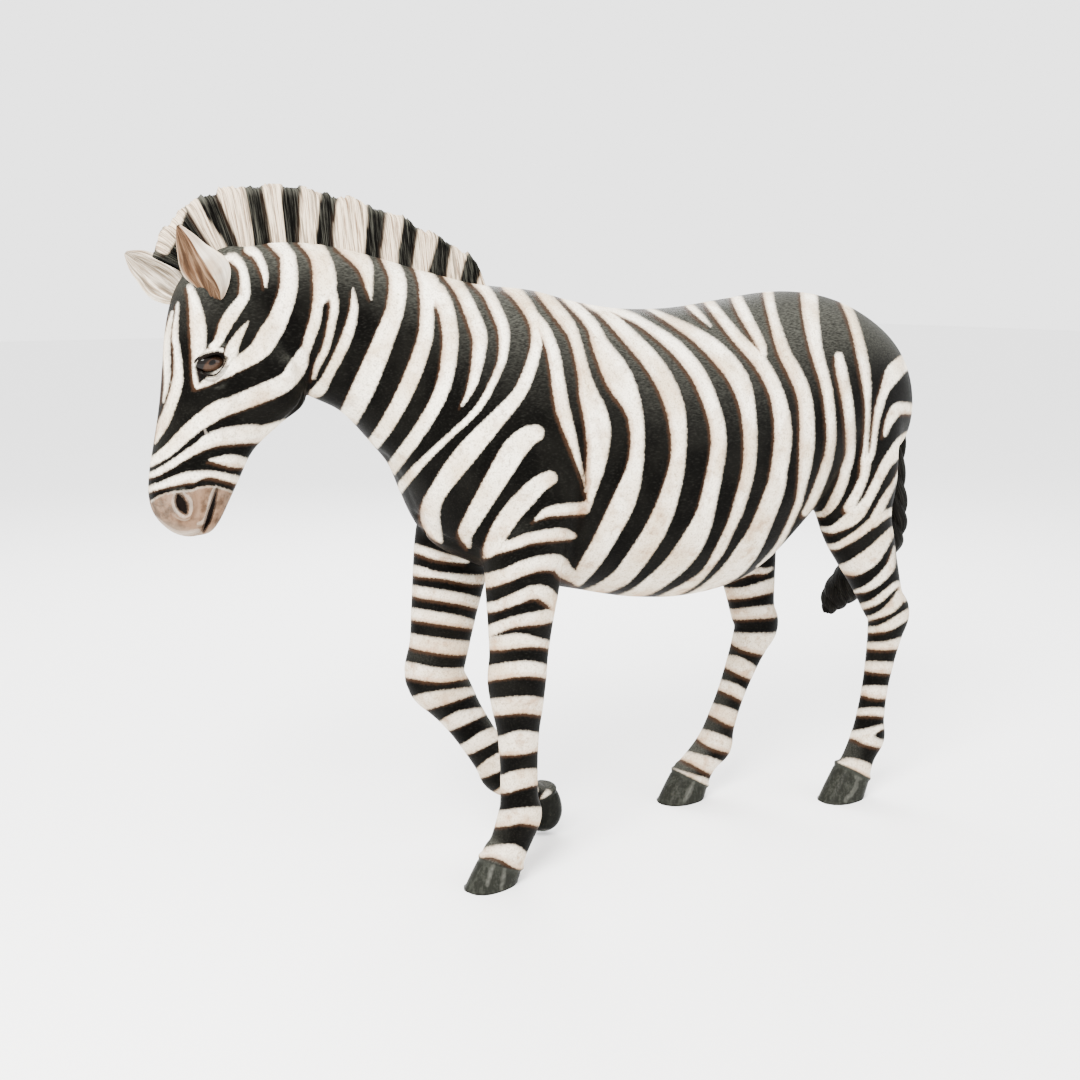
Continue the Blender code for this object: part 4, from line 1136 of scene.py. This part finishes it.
def skin_shells():
    """Every form that lies under the skin."""
    shells = bmesh.new()
    stations(shells, BODY, BODY_SQUARENESS, TRUNK_WIDTH / TABLE_WIDTH)
    stations(shells, HEAD, HEAD_SQUARENESS)
    for centre, radii, pitch, lean in MUSCLES:
        for sign in (-1, 1):
            x, y, z = centre
            mass(shells, Vector((x, sign * y, z)), radii, pitch, sign * lean)
    for name in LEGS:
        add_leg(shells, name)
    bmesh.ops.scale(shells, vec=(STEP, STEP, STEP), verts=shells.verts)
    bmesh.ops.recalc_face_normals(shells, faces=shells.faces)
    mesh = bpy.data.meshes.new("shells")
    shells.to_mesh(mesh)
    shells.free()
    return mesh


def hoof_frame(name):
    """Coronet of a leg in metres, and the way its hoof hangs."""
    coronet = leg_path(name)[-1]
    raised = coronet[2] > RAISED_ABOVE
    down = np.array((RAISED_LEAN if raised else STANDING_LEAN, 0, -1))
    return coronet * STEP, down / np.linalg.norm(down)


def below_coronet(points):
    """How far points near a foot lie below the coronet, in steps, and which are of the raised foot."""
    below, raised = np.full(len(points), -HORN_EDGE), np.zeros(len(points))
    for name in LEGS:
        coronet, down = hoof_frame(name)
        away = points - coronet
        along = away @ down
        near = np.linalg.norm(away - down * along[:, None], axis=1) < FOOT_REACH
        near &= np.abs(along) < FOOT_LENGTH
        drop, slope = CORONET_LEVEL[name]
        deep = (along - slope * away[:, 0]) / STEP - drop
        below = np.where(near, np.maximum(below, deep), below)
        if leg_path(name)[-1][2] > RAISED_ABOVE:
            raised[near] = 1
    return below, raised


def ridge(value, middle, width):
    """A rounded ridge, 1 at its middle."""
    return np.exp(-((value - middle) / width) ** 2)


def press_eyes(points, normals):
    """Open the almond between the lids and raise the lids around it."""
    along = points[:, 0] / STEP - EYE_OPENING[0]
    up = points[:, 2] / STEP - EYE_OPENING[1] - EYE_SLANT * along
    near = (np.abs(points[:, 1]) > EYE_SIDE) & (np.abs(along) < EYE_REACH[0]) & (np.abs(up) < EYE_REACH[1])
    wide, high = np.abs(along) / EYE_HALF[0], up / EYE_HALF[1]
    edge = np.abs(high) - np.clip(1 - wide ** 2, -1, 1)
    edge = np.where(wide > 1, np.maximum(edge, wide - 1), edge)
    hollow = 1 - smooth(edge, *EYE_RIM)
    lid = ridge(edge, *LID) * (1 + UPPER_LID * smooth(high, 0, 1)) * (1 - smooth(wide, *LID_ENDS))
    crease = ridge(edge, *CREASE) * (1 - smooth(wide, *CREASE_ENDS))
    shift = near * (EYE_DEEP * hollow - LID_RISE * lid + LID_CREASE * crease)
    points -= normals * (shift * STEP)[:, None]


def make_skin():
    """The whole skin, from its shells blended into each other."""
    mesh = applied(skin_shells(), "REMESH", mode="VOXEL", voxel_size=SKIN_CELL)
    points, edges = mesh_points(mesh), mesh_edges(mesh)
    relax(points, edges, np.ones(len(points)), SKIN_ROUNDS)
    for centre, radius, rounds in JUNCTIONS:
        away = np.linalg.norm(points - np.array(centre) * STEP, axis=1) / (radius * STEP)
        weight = np.clip(JUNCTION_WEIGHT * (1 - away), 0, 1)
        relax(points, edges, weight, round(rounds * ROUNDS_FINER))
    set_points(mesh, points)
    press(points, mesh_normals(mesh), FEATURES + SKIN_FOLDS)
    set_points(mesh, points)
    below, _ = below_coronet(points)
    foot = np.zeros(len(points))
    for place, wide, rise in CORONET_RINGS:
        foot += rise * ridge(below, place, wide)
    points += mesh_normals(mesh) * (foot * STEP)[:, None]
    set_points(mesh, points)
    return mesh


def press(points, normals, features):
    """Press folds and raise ridges on both sides alike."""
    for path, reach, depth in features:
        rows = smooth_rows(path, ROW_STEPS) if len(path) > 1 else np.array(path)
        both = [brush(points, rows * (STEP, sign * STEP, STEP), reach * STEP) for sign in (-1, 1)]
        points -= normals * (depth * STEP * np.maximum(*both))[:, None]


def part_of(x, z):
    """Which piece of the skin a face belongs to."""
    place, slope, height = HEAD_CUT
    head = (x < place + (z - height) * slope) & (z > HEAD_BOTTOM)
    return np.select([head, z < LEGS_TOP, x < FORE_END], [0, 1, 2], 3)


def split_skin(mesh):
    """The skin as four meshes whose edges meet, with what is needed to shade them as one."""
    points, normals, edges = mesh_points(mesh), mesh_normals(mesh), mesh_edges(mesh)
    corners = read(mesh.loops, "vertex_index", 1, int)
    sizes = read(mesh.polygons, "loop_total", 1, int)
    quads = corners[np.repeat(sizes == 4, sizes)].reshape(-1, 4)
    middles = points[quads].mean(axis=1) / STEP
    owner = part_of(middles[:, 0], middles[:, 2])
    lowest = np.full(len(points), len(SKIN_NAMES))
    highest = np.full(len(points), -1)
    for corner in quads.T:
        np.minimum.at(lowest, corner, owner)
        np.maximum.at(highest, corner, owner)
    held = (lowest != highest).astype(float)
    for _ in range(HELD_ROUNDS):
        wider = held.copy()
        for here, there in (edges.T, edges.T[::-1]):
            np.maximum.at(wider, here, held[there] * HELD_FADE)
        held = wider
    meshes = []
    for i, name in enumerate(SKIN_NAMES):
        faces = quads[owner == i]
        used = np.unique(faces)
        place = np.full(len(points), -1)
        place[used] = np.arange(len(used))
        made = bpy.data.meshes.new(name)
        made.from_pydata(points[used], [], place[faces].tolist())
        store(made, "whole_normal", normals[used])
        store(made, "held", held[used])
        meshes.append(made)
    return meshes


def cut_finer(mesh, spots):
    """Halve the edges of a mesh that lie near some spots, on both sides."""
    middles = mesh_points(mesh)[mesh_edges(mesh)].mean(axis=1) / STEP
    middles[:, 1] = np.abs(middles[:, 1])
    near = np.zeros(len(middles), bool)
    for centre, reach in spots:
        near |= np.linalg.norm(middles - centre, axis=1) < reach
    finer = bmesh.new()
    finer.from_mesh(mesh)
    finer.edges.ensure_lookup_table()
    chosen = [finer.edges[i] for i in np.flatnonzero(near)]
    bmesh.ops.subdivide_edges(finer, edges=chosen, cuts=1, use_grid_fill=True)
    finer.to_mesh(mesh)
    finer.free()


def shape_head(mesh):
    """The head made finer, with the folds of its face and its open eyes."""
    mesh = applied(mesh, "SUBSURF", subdivision_type="SIMPLE", levels=1)
    for spots, rounds in ((None, HEAD_ROUNDS), (FINE_SPOTS, FINE_ROUNDS)):
        if spots:
            cut_finer(mesh, spots)
        points, edges = mesh_points(mesh), mesh_edges(mesh)
        held = read(mesh.attributes["held"].data, "value", 1)
        relax(points, edges, 1 - np.clip(held * HELD_MARGIN, 0, 1), rounds)
        set_points(mesh, points)
    press(points, mesh_normals(mesh), HEAD_FEATURES)
    set_points(mesh, points)
    press_eyes(points, mesh_normals(mesh))
    set_points(mesh, points)
    return mesh


def finish_skin(mesh, material):
    """Refine the head, paint the piece and shade it as part of the whole."""
    name = mesh.name
    if name == SKIN_NAMES[0]:
        mesh = shape_head(mesh)
    held = read(mesh.attributes["held"].data, "value", 1)[:, None]
    whole = read(mesh.attributes["whole_normal"].data, "vector", 3)
    normals = whole * held + mesh_normals(mesh) * (1 - held)
    normals /= np.linalg.norm(normals, axis=1)[:, None]
    below, raised = below_coronet(mesh_points(mesh))
    points = placed(mesh_points(mesh) / STEP)
    set_points(mesh, points)
    light, shifted = paint(points, normals, NECK_LIGHTS + TRUNK_LIGHTS + LEFT_LEG_LIGHTS + MUZZLE)
    store(mesh, "light", light)
    store(mesh, "shifted", shifted)
    spot = seen(on_left(points))
    on_head = (points[:, 2] > HEAD_BOTTOM * STEP) & (points[:, 0] < FACE_END)
    for field, strokes, reach in (
        ("muzzle", MUZZLE, PAINT_REACH), ("line", DARK_LINES, LINE_REACH), ("highlight_line", VEIN_AND_RIM_HIGHLIGHTS, LINE_REACH),
    ):
        store(mesh, field, np.where(on_head, depth_inside(spot, strokes, reach), -reach))
    store(mesh, "shade", depth_inside(spot, SHADES, SHADE_REACH))
    store(mesh, "up", normals[:, 2])
    if name == SKIN_NAMES[1]:
        store(mesh, "hoof", below + HORN_EDGE)
        store(mesh, "raised", raised)
        store(mesh, "glint_and_streak", depth_inside(seen(points), GLINTS_AND_STREAKS, LINE_REACH) + LINE_REACH)
    for spent in ("held", "whole_normal"):
        mesh.attributes.remove(mesh.attributes[spent])
    mesh.name = name
    piece(name, mesh, material)
    mesh.normals_split_custom_set_from_vertices(normals)


# Mane, tail, ears and eyes


def ruffle(shape, scales, seed):
    """Smooth random heights on a grid, as a sum of coarser and finer ones, about -1 to 1."""
    random = np.random.default_rng(seed)
    total = np.zeros(shape)
    rows, columns = np.arange(shape[0]), np.arange(shape[1])
    for (across, down), share in scales:
        coarse = random.normal(size=(math.ceil(shape[0] / across) + 2, math.ceil(shape[1] / down) + 2))
        at_row, at_column = rows / across, columns / down
        i, j = at_row.astype(int), at_column.astype(int)
        u, v = smooth(at_row - i, 0, 1)[:, None], smooth(at_column - j, 0, 1)[None, :]
        low = coarse[np.ix_(i, j)] * (1 - u) + coarse[np.ix_(i + 1, j)] * u
        high = coarse[np.ix_(i, j + 1)] * (1 - u) + coarse[np.ix_(i + 1, j + 1)] * u
        total += share * (low * (1 - v) + high * v)
    return total


def sheet_mesh(name, grid, closed=False):
    """A mesh over a grid of points; closed joins its last column to its first."""
    rows, columns = grid.shape[:2]
    number = np.arange(rows * columns).reshape(rows, columns)
    faces = [number[:-1, :-1], number[1:, :-1], number[1:, 1:], number[:-1, 1:]]
    quads = np.stack(faces, -1).reshape(-1, 4)
    if closed:
        last = np.stack([number[:-1, -1], number[1:, -1], number[1:, 0], number[:-1, 0]], -1)
        quads = np.vstack([quads, last])
    mesh = bpy.data.meshes.new(name)
    mesh.from_pydata(grid.reshape(-1, 3), [], quads.tolist())
    mesh.update()
    return mesh


def over_grid(shape, *fields):
    """Fields over a grid, as one row for each of its points."""
    return np.stack([np.broadcast_to(field, shape) for field in fields], -1).reshape(-1, len(fields))


def mane_columns():
    """Root, top and drop of each column of the mane."""
    tops, roots = smooth_rows(MANE_TOP, MANE_STEPS), smooth_rows(MANE_ROOT, MANE_STEPS)
    share = np.linspace(0, len(tops) - 1 - LAST_GAP, MANE_COLUMNS)
    low = share.astype(int)
    part = (share - low)[:, None]
    root, top = [line[low] * (1 - part) + line[low + 1] * part for line in (roots, tops)]
    lock = np.round(share / (len(tops) - 1) * (MANE_LOCKS - 1))
    soft = np.hanning(LOCK_SOFT) / np.hanning(LOCK_SOFT).sum()
    drop = np.pad(LOCK_DROP * np.sin(lock * LOCK_PITCH), LOCK_SOFT // 2, mode="edge")
    return root, top, np.convolve(drop, soft, mode="valid")


def make_mane(material):
    """The clipped upright mane: fine hair in tufts, rising to a stepped, brushed top."""
    root, top, drop = mane_columns()
    rise = top - root
    heights = np.concatenate([np.linspace(MANE_SUNK, MANE_BEND, MANE_ROWS), MANE_CREST])
    around = np.concatenate([heights, heights[-2::-1]])[:, None]
    side = np.ones(around.shape)
    side[:len(heights)] = -1
    side[len(heights) - 1] = 0
    shape = (len(around), MANE_COLUMNS)
    tufts = ruffle(shape, MANE_TUFTS, MANE_SEED)
    ends = ruffle((1, MANE_COLUMNS), MANE_ENDS, ENDS_SEED)
    thick = np.interp(around, *zip(*MANE_WIDTHS)) * MANE_THICKNESS / 2 / STEP
    fade = np.interp(around, *zip(*GROOVE_FADE))
    number = np.arange(MANE_COLUMNS)
    taper = smooth(np.minimum(number, number[::-1]), 0, TAPER_COLUMNS)
    brushed = np.interp(around, *zip(*RAGGED_FADE)) * ends * MANE_RAGGED
    x = root[:, 0] + rise[:, 0] * around
    y = side * (thick + fade * tufts * MANE_GROOVE) * (TAPER_END + (1 - TAPER_END) * taper)
    z = root[:, 1] + rise[:, 1] * around - np.maximum(around, 0) * drop
    z = z + brushed * rise[:, 1] / np.linalg.norm(rise, axis=1)
    mesh = sheet_mesh("mane", placed(over_grid(shape, x, y, z).reshape(*shape, 3)))
    along = np.cumsum(np.linalg.norm(np.diff(top, axis=0, prepend=top[:1]), axis=1)) * STEP
    store(mesh, "lay", over_grid(shape, along, around * MANE_LAY, side * MANE_SIDE_LAY))
    spot = seen(on_left(mesh_points(mesh)))
    store(mesh, "light", depth_inside(spot, MANE_LIGHTS))
    store(mesh, "shifted", depth_inside(spot + FRINGE_SHIFT, MANE_LIGHTS))
    store(mesh, "top", over_grid(shape, around).ravel())
    piece("mane", mesh, material)


def tube_grid(rows, side, detail, around):
    """Points of a tube swept along a line of sections, and the turns at which they lie."""
    rows = smooth_rows(rows, detail)
    centre, ahead, behind, half, dish = rows[:, :3], rows[:, 3:4], rows[:, 4:5], rows[:, 5:6], rows[:, 6:7]
    slopes = np.gradient(centre, axis=0)
    along = slopes / np.linalg.norm(slopes, axis=1)[:, None]
    across = side - along * (along @ side)[:, None]
    across /= np.linalg.norm(across, axis=1)[:, None]
    front = np.cross(across, along)
    turn = np.linspace(0, 2 * math.pi, around, endpoint=False)
    u = np.cos(turn) * np.where(np.cos(turn) > 0, ahead, behind)
    u -= dish * np.clip(between_lips(turn), 0, 1)
    v = np.sin(turn) * half
    grid = centre[:, None] + u[:, :, None] * front[:, None] + v[:, :, None] * across[:, None]
    return grid, turn


def between_lips(turn):
    """1 in the middle of an ear's opening, 0 at its lips and less behind them."""
    return (np.cos(turn) - LIP_TURN) / (1 - LIP_TURN)


def make_ear(name, root, tip, hollow, material):
    """A leaf-shaped ear, dished on its opening side, with hair between its lips."""
    root = np.array(root, float)
    axis = (np.array(tip) - root) / np.linalg.norm(np.array(tip) - root)
    across = np.cross(axis, hollow)
    across /= np.linalg.norm(across)
    rows = []
    for share, wide, open_side, back, dish in EAR_SECTIONS:
        rows.append((*(root + axis * EAR_LENGTH / STEP * share), open_side, back, wide, dish))
    grid, turn = tube_grid(rows, across, EAR_STEPS, EAR_SIDES)
    shape = grid.shape[:2]
    inside = np.clip(between_lips(turn), -1, 1)
    hair = ruffle(shape, EAR_HAIR, EAR_SEED if root[1] > 0 else EAR_SEED + 1)
    outward = grid - grid.mean(axis=1, keepdims=True)
    outward /= np.linalg.norm(outward, axis=2, keepdims=True) + 1e-9
    grid = grid + outward * (hair * EAR_GROOVE * np.clip(inside * 3 + 0.5, EAR_SMOOTHEST, 1))[:, :, None]
    mesh = sheet_mesh(name, placed(grid), closed=True)
    place = np.linspace(0, 1, len(grid))[:, None]
    for field, values in (("inside", inside), ("place", place), ("lobe", np.sin(turn))):
        store(mesh, field, over_grid(shape, values).ravel())
    store(mesh, "lay", over_grid(shape, turn * EAR_LAY[0], place * EAR_LAY[1], inside * EAR_LAY[2]))
    piece(name, mesh, material)


def make_tail(material):
    """The tail: strands of carved hair twisted round a core, ending in a pointed lock."""
    half = TAIL_THICKNESS / 2 / STEP
    line = smooth_rows(TAIL, TAIL_STEPS)
    strands = [[(x, y, z, *[half * share * CORE_THICKNESS] * 3, 0) for x, y, z, share in line]]
    for strand in range(TAIL_STRANDS):
        rows = []
        for i, (x, y, z, share) in enumerate(line):
            turn = 2 * math.pi * (strand / TAIL_STRANDS + TAIL_TURNS * i / len(line))
            off = half * share * STRAND_OFFSET
            thick = half * share * STRAND_THICKNESS
            rows.append((x + off * math.cos(turn), y + off * math.sin(turn), z, *[thick] * 3, 0))
        strands.append(rows)
    for i, rows in enumerate(strands):
        name = "tail_{}".format(i)
        grid, turn = tube_grid(rows, np.array((0.0, 1.0, 0.0)), STRAND_STEPS, STRAND_SIDES)
        shape = grid.shape[:2]
        middle = grid.mean(axis=1, keepdims=True)
        groove = ruffle(shape, TAIL_HAIR, TAIL_SEED + i)
        size = np.linalg.norm(grid - middle, axis=2, keepdims=True)
        grid = middle + (grid - middle) * (1 + TAIL_GROOVE * groove[:, :, None] / np.maximum(size, 0.3))
        mesh = sheet_mesh(name, placed(grid), closed=True)
        along = np.linspace(0, TAIL_LAY[1], len(grid))[:, None]
        store(mesh, "lay", over_grid(shape, turn * TAIL_LAY[0], along, i))
        piece(name, mesh, material)


def make_eye(name, sign, material):
    """A glossy eyeball with a brown iris and a wide dark pupil."""
    ball = bmesh.new()
    centre = Vector(((EYEBALL[0] + MIDDLE) * STEP, sign * EYEBALL[1] * STEP, EYEBALL[2] * STEP))
    place = Matrix.Translation(centre) @ Matrix.Diagonal((*[r * STEP for r in EYEBALL_RADII], 1))
    bmesh.ops.create_icosphere(ball, subdivisions=4, radius=1, matrix=place)
    mesh = bpy.data.meshes.new(name)
    ball.to_mesh(mesh)
    ball.free()
    points = (mesh_points(mesh) - np.array(centre)) / STEP
    store(mesh, "up", points[:, 2] / EYEBALL_RADII[2])
    for part, (along, up, half, high) in (("iris", IRIS), ("pupil", PUPIL)):
        off = points[:, (0, 2)] + (EYEBALL[0] - along, EYEBALL[2] - up)
        store(mesh, part, np.hypot(off[:, 0] / half, (off[:, 1] - EYE_SLANT * off[:, 0]) / high))
    piece(name, mesh, material)


# Paint


class Wiring:
    """Adds and links the nodes of one material, and keeps its fields by name."""

    def __init__(self, name):
        self.material = bpy.data.materials.new(name)
        self.material.use_nodes = True
        self.tree = self.material.node_tree
        self.shader = self.tree.nodes["Principled BSDF"]
        self.fields = {}

    def put(self, socket, value):
        """Give a socket a value, or link it to another socket."""
        if isinstance(value, bpy.types.NodeSocket):
            self.tree.links.new(value, socket)
        else:
            socket.default_value = value

    def add(self, kind, settings=None, output=0, **inputs):
        """A new node with its settings and inputs; gives one of its outputs."""
        node = self.tree.nodes.new("ShaderNode" + kind)
        for key, value in (settings or {}).items():
            setattr(node, key, value)
        for key, value in inputs.items():
            self.put(node.inputs[key.replace("_", " ")], value)
        return node.outputs[output]

    def place(self):
        """Place on the object."""
        return self.add("TexCoord", output="Object")

    def kept(self, name, output="Fac"):
        """A value kept for the vertices."""
        return self.add("Attribute", {"attribute_name": name}, output)

    def math(self, kind, first, second):
        node = self.tree.nodes.new("ShaderNodeMath")
        node.operation = kind
        self.put(node.inputs[0], first)
        self.put(node.inputs[1], second)
        return node.outputs[0]

    def plus(self, first, second):
        return self.math("ADD", first, second)

    def times(self, first, second):
        return self.math("MULTIPLY", first, second)

    def step(self, value, low, high, most=1.0, least=0.0):
        """A soft step from the least at low to the most at high."""
        return self.add("MapRange", {"interpolation_type": "SMOOTHSTEP"}, Value=value,
                        From_Min=low, From_Max=high, To_Min=least, To_Max=most)

    def mix(self, share, first, second, kind="MIX"):
        node = self.tree.nodes.new("ShaderNodeMix")
        node.data_type = "RGBA"
        node.blend_type = kind
        self.put(node.inputs["Factor"], share)
        self.put(node.inputs["A"], first)
        self.put(node.inputs["B"], second)
        return next(socket for socket in node.outputs if socket.enabled)

    def noise(self, vector, scale, detail=3.0, rough=0.55):
        return self.add("TexNoise", Vector=vector, Scale=scale, Detail=detail, Roughness=rough)

    def waver(self, noise, amount):
        """A noise about zero, as large as the amount."""
        return self.times(self.plus(noise, -0.5), amount)

    def strands(self, vector, scale, detail=3.0, rough=0.6):
        """A noise with its own scale along each axis."""
        return self.noise(self.add("Mapping", Vector=vector, Scale=scale), 1.0, detail, rough)

    def bump(self, height, strength, distance, **under):
        return self.add("Bump", Height=height, Strength=strength, Distance=distance, **under)

    def layered(self, colour, layers):
        """Paint laid over a colour, layer by layer, each where its fields let it show."""
        for paint, *steps in layers:
            shares = [self.step(self.fields[field], *span) for field, *span in steps]
            share = shares[0]
            for other in shares[1:]:
                share = self.times(share, other)
            colour = self.mix(share, colour, paint)
        return colour

    def finish(self, colour, roughness, normal):
        """Link the shader's colour, roughness and normal; the rest is set on it directly."""
        self.put(self.shader.inputs["Base Color"], colour)
        self.put(self.shader.inputs["Roughness"], roughness)
        self.put(self.shader.inputs["Normal"], normal)
        self.shader.inputs["Specular IOR Level"].default_value = SPECULAR
        return self.material


def coat_fields(w, place):
    """What the paints of the coat follow."""
    w.fields = {name: w.kept(name) for name in SKIN_FIELDS}
    w.fields["lead"] = w.math("SUBTRACT", w.fields["shifted"], w.fields["light"])
    w.fields["height"] = w.add("SeparateXYZ", output="Z", Vector=place)
    for name, scale, detail, rough in COAT_NOISES:
        w.fields[name] = w.noise(place, scale, detail, rough)
    w.fields["hair"] = w.strands(place, COAT_HAIR)
    wave = w.plus(*[w.waver(w.noise(place, scale, 2.0), amount) for scale, amount in EDGE_WAVES])
    w.fields["cover"] = w.plus(w.fields["light"], wave)
    w.fields["fringe"] = w.plus(w.fields["shifted"], w.times(wave, 1.4))
    w.fields["fold"] = w.plus(w.fields["shade"], wave)
    w.fields["bare"] = w.plus(w.fields["muzzle"], wave)
    w.fields["horn"] = w.plus(w.fields["hoof"], w.times(wave, 0.18))
    w.fields["streak"] = w.plus(w.strands(place, HORN_STREAK), w.fields["grain"])


def coat_material():
    """Painted coat: dark ground, brown-fringed cream stripes, fine hair, bare muzzle, dark hooves."""
    w = Wiring("painted_coat_skin")
    place = w.place()
    coat_fields(w, place)
    cover = w.step(w.fields["cover"], -1.3, 1.5)
    colour = w.mix(cover, w.layered(DARK, DARK_LAYERS), w.layered(CREAM, CREAM_LAYERS))
    # Painted shade: the coat darkened along the strokes in the folds and creases
    colour = w.mix(w.step(w.fields["fold"], -2.5, 2.5, 0.6), colour, SHADE, "MULTIPLY")
    colour = w.layered(colour, [(w.layered(FLESH, FLESH_LAYERS), ("bare", -1.5, 2.5, 0.95)), *FACE_LAYERS])
    hoof = w.step(w.fields["horn"], 8.65, 9.35)
    colour = w.mix(hoof, colour, w.layered(HORN, HORN_LAYERS))

    speckle, hair = w.fields["speckle"], w.fields["hair"]
    rough = w.plus(w.plus(w.times(cover, 0.08), w.times(speckle, 0.22)), COAT_ROUGHNESS)
    rough = w.plus(rough, w.times(hoof, -0.20))
    normal = w.bump(w.plus(hair, w.times(speckle, 0.5)), 0.30, 0.0011)
    normal = w.bump(w.noise(place, 60.0, 2.0), 0.22, 0.002, Normal=normal)
    return w.finish(colour, rough, normal)


def mane_material():
    """Painted mane: banded like the neck, with fine strands of hair along its height."""
    w = Wiring("painted_coat_mane")
    lay = w.kept("lay", "Vector")
    fine = w.strands(lay, (420.0, 12.0, 1.0), 4.0, 0.65)
    wide = w.strands(lay, (150.0, 6.0, 1.0))
    wave = w.waver(wide, 7.0)
    fringe = w.plus(w.kept("shifted"), wave)
    w.fields = {"fine": fine, "wide": wide, "fringe": fringe, "top": w.kept("top")}
    cover = w.step(w.plus(w.kept("light"), wave), -1.8, 1.8)
    colour = w.mix(cover, w.layered(DARK, MANE_DARK_LAYERS), w.layered(MANE_CREAM, MANE_CREAM_LAYERS))
    normal = w.bump(w.plus(fine, wide), 0.8, 0.004)
    return w.finish(colour, w.plus(w.times(fine, 0.2), 0.42), normal)


def ear_material(name, hairs):
    """An ear: cream behind, beige at its root, with brushed hair between its lips."""
    w = Wiring("painted_coat_" + name)
    lay = w.kept("lay", "Vector")
    inside = w.kept("inside")
    fine = w.strands(lay, (300.0, 18.0, 1.0), 4.0, 0.65)
    clumps = w.strands(lay, (90.0, 9.0, 1.0), 2.0, 0.5)
    far_lobe = w.times(w.math("MAXIMUM", w.kept("lobe"), 0.0), 0.92)
    spread = w.plus(w.plus(inside, w.waver(clumps, 0.5)), far_lobe)
    cloud = w.noise(w.place(), 25.0)
    w.fields = {"fine": fine, "clumps": clumps, "inside": inside, "spread": spread, "cloud": cloud,
                "along": w.kept("place")}
    back = w.layered(EAR_BACK, EAR_BACK_LAYERS)
    brown, light, shadow = hairs
    hair = w.layered(brown, [
        (light, ("fine", 0.40, 0.62)),
        (shadow, ("clumps", 0.48, 0.62, 0.75)),
        (shadow, ("inside", 0.50, 1.00, 0.4)),
    ])
    colour = w.mix(w.step(spread, -0.04, 0.12), back, hair)
    normal = w.bump(w.plus(fine, clumps), 0.6, 0.003)
    return w.finish(colour, w.plus(w.times(fine, 0.15), 0.45), normal)


def tail_material():
    """Dark carved hair of the tail, with lighter strands."""
    w = Wiring("painted_coat_tail")
    fine = w.strands(w.kept("lay", "Vector"), (500.0, 16.0, 3.0), 4.0, 0.65)
    colour = w.mix(w.step(fine, 0.48, 0.72), TAIL_DARK, TAIL_LIGHT)
    return w.finish(colour, w.plus(w.times(fine, 0.2), 0.38), w.bump(fine, 0.8, 0.003))


def eye_material():
    """Glossy painted eye: brown iris, dark pupil and dark surround."""
    w = Wiring("painted_coat_eye")
    fleck = w.noise(w.place(), 260.0)
    # Painted shadow of the upper lid: the eyeball darker towards its top
    brown = w.mix(w.step(w.kept("up"), 0.5, -0.7), EYE_BROWN, EYE_LIGHT)
    brown = w.mix(w.times(fleck, 0.5), brown, EYE_BROWN)
    iris = w.step(w.plus(w.kept("iris"), w.times(fleck, 0.2)), 1.25, 0.95)
    colour = w.mix(iris, EYE_DARK, brown)
    colour = w.mix(w.step(w.kept("pupil"), 1.12, 0.85), colour, EYE_DARK)
    w.shader.inputs["Coat Weight"].default_value = 0.22
    w.shader.inputs["Coat Roughness"].default_value = 0.05
    return w.finish(colour, w.plus(w.times(fleck, 0.05), 0.12), w.bump(fleck, 0.05, 0.001))


def floor_material():
    """Plain pale floor with a very fine grain."""
    w = Wiring("pale_floor")
    grain = w.noise(w.place(), 90.0, 4.0)
    colour = w.mix(grain, FLOOR, FLOOR_SHADE)
    return w.finish(colour, w.plus(w.times(grain, 0.1), 0.6), w.bump(grain, 0.05, 0.001))


# Stage


def make_camera():
    """The camera at the height of the withers, ahead of the zebra on its left."""
    camera = bpy.data.cameras.new("camera")
    camera.lens = CAMERA_LENS
    camera.sensor_width = CAMERA_SENSOR
    camera.sensor_fit = "HORIZONTAL"
    camera.clip_end = 200
    seat = link("camera", camera)
    seat.location = CAMERA_PLACE
    seat.rotation_euler = (math.radians(90 - CAMERA_PITCH), 0, math.radians(CAMERA_TURN))
    bpy.context.scene.camera = seat


def make_floor():
    """The pale floor under the hooves."""
    ground = bmesh.new()
    bmesh.ops.create_grid(ground, x_segments=8, y_segments=8, size=FLOOR_HALF)
    mesh = bpy.data.meshes.new("floor")
    ground.to_mesh(mesh)
    ground.free()
    floor = link("floor", mesh)
    mesh.materials.append(floor_material())


def light_room():
    """Large soft lamps and the white room around them."""
    for name, place, target, size, power, tint in LAMPS:
        lamp = bpy.data.lights.new(name, "AREA")
        lamp.shape = "RECTANGLE"
        lamp.size, lamp.size_y = size
        lamp.energy = power
        lamp.color = tint
        holder = link(name, lamp)
        holder.location = place
        holder.rotation_euler = (Vector(target) - Vector(place)).to_track_quat("-Z", "Y").to_euler()
    world = bpy.data.worlds.new("room")
    bpy.context.scene.world = world
    world.use_nodes = True
    room = world.node_tree.nodes["Background"]
    room.inputs["Color"].default_value = (1.0, 1.0, 1.0, 1.0)
    room.inputs["Strength"].default_value = ROOM_STRENGTH


def main():
    make_camera()
    make_floor()
    light_room()
    coat = coat_material()
    for mesh in split_skin(make_skin()):
        finish_skin(mesh, coat)
    make_mane(mane_material())
    hairs = (NEAR_EAR_HAIRS, FAR_EAR_HAIRS)
    for name, ear, colours in zip(("ear_left", "ear_right"), EARS, hairs):
        make_ear(name, *ear, ear_material(name, colours))
    make_tail(tail_material())
    eyes = eye_material()
    make_eye("eye_left", -1, eyes)
    make_eye("eye_right", 1, eyes)


main()
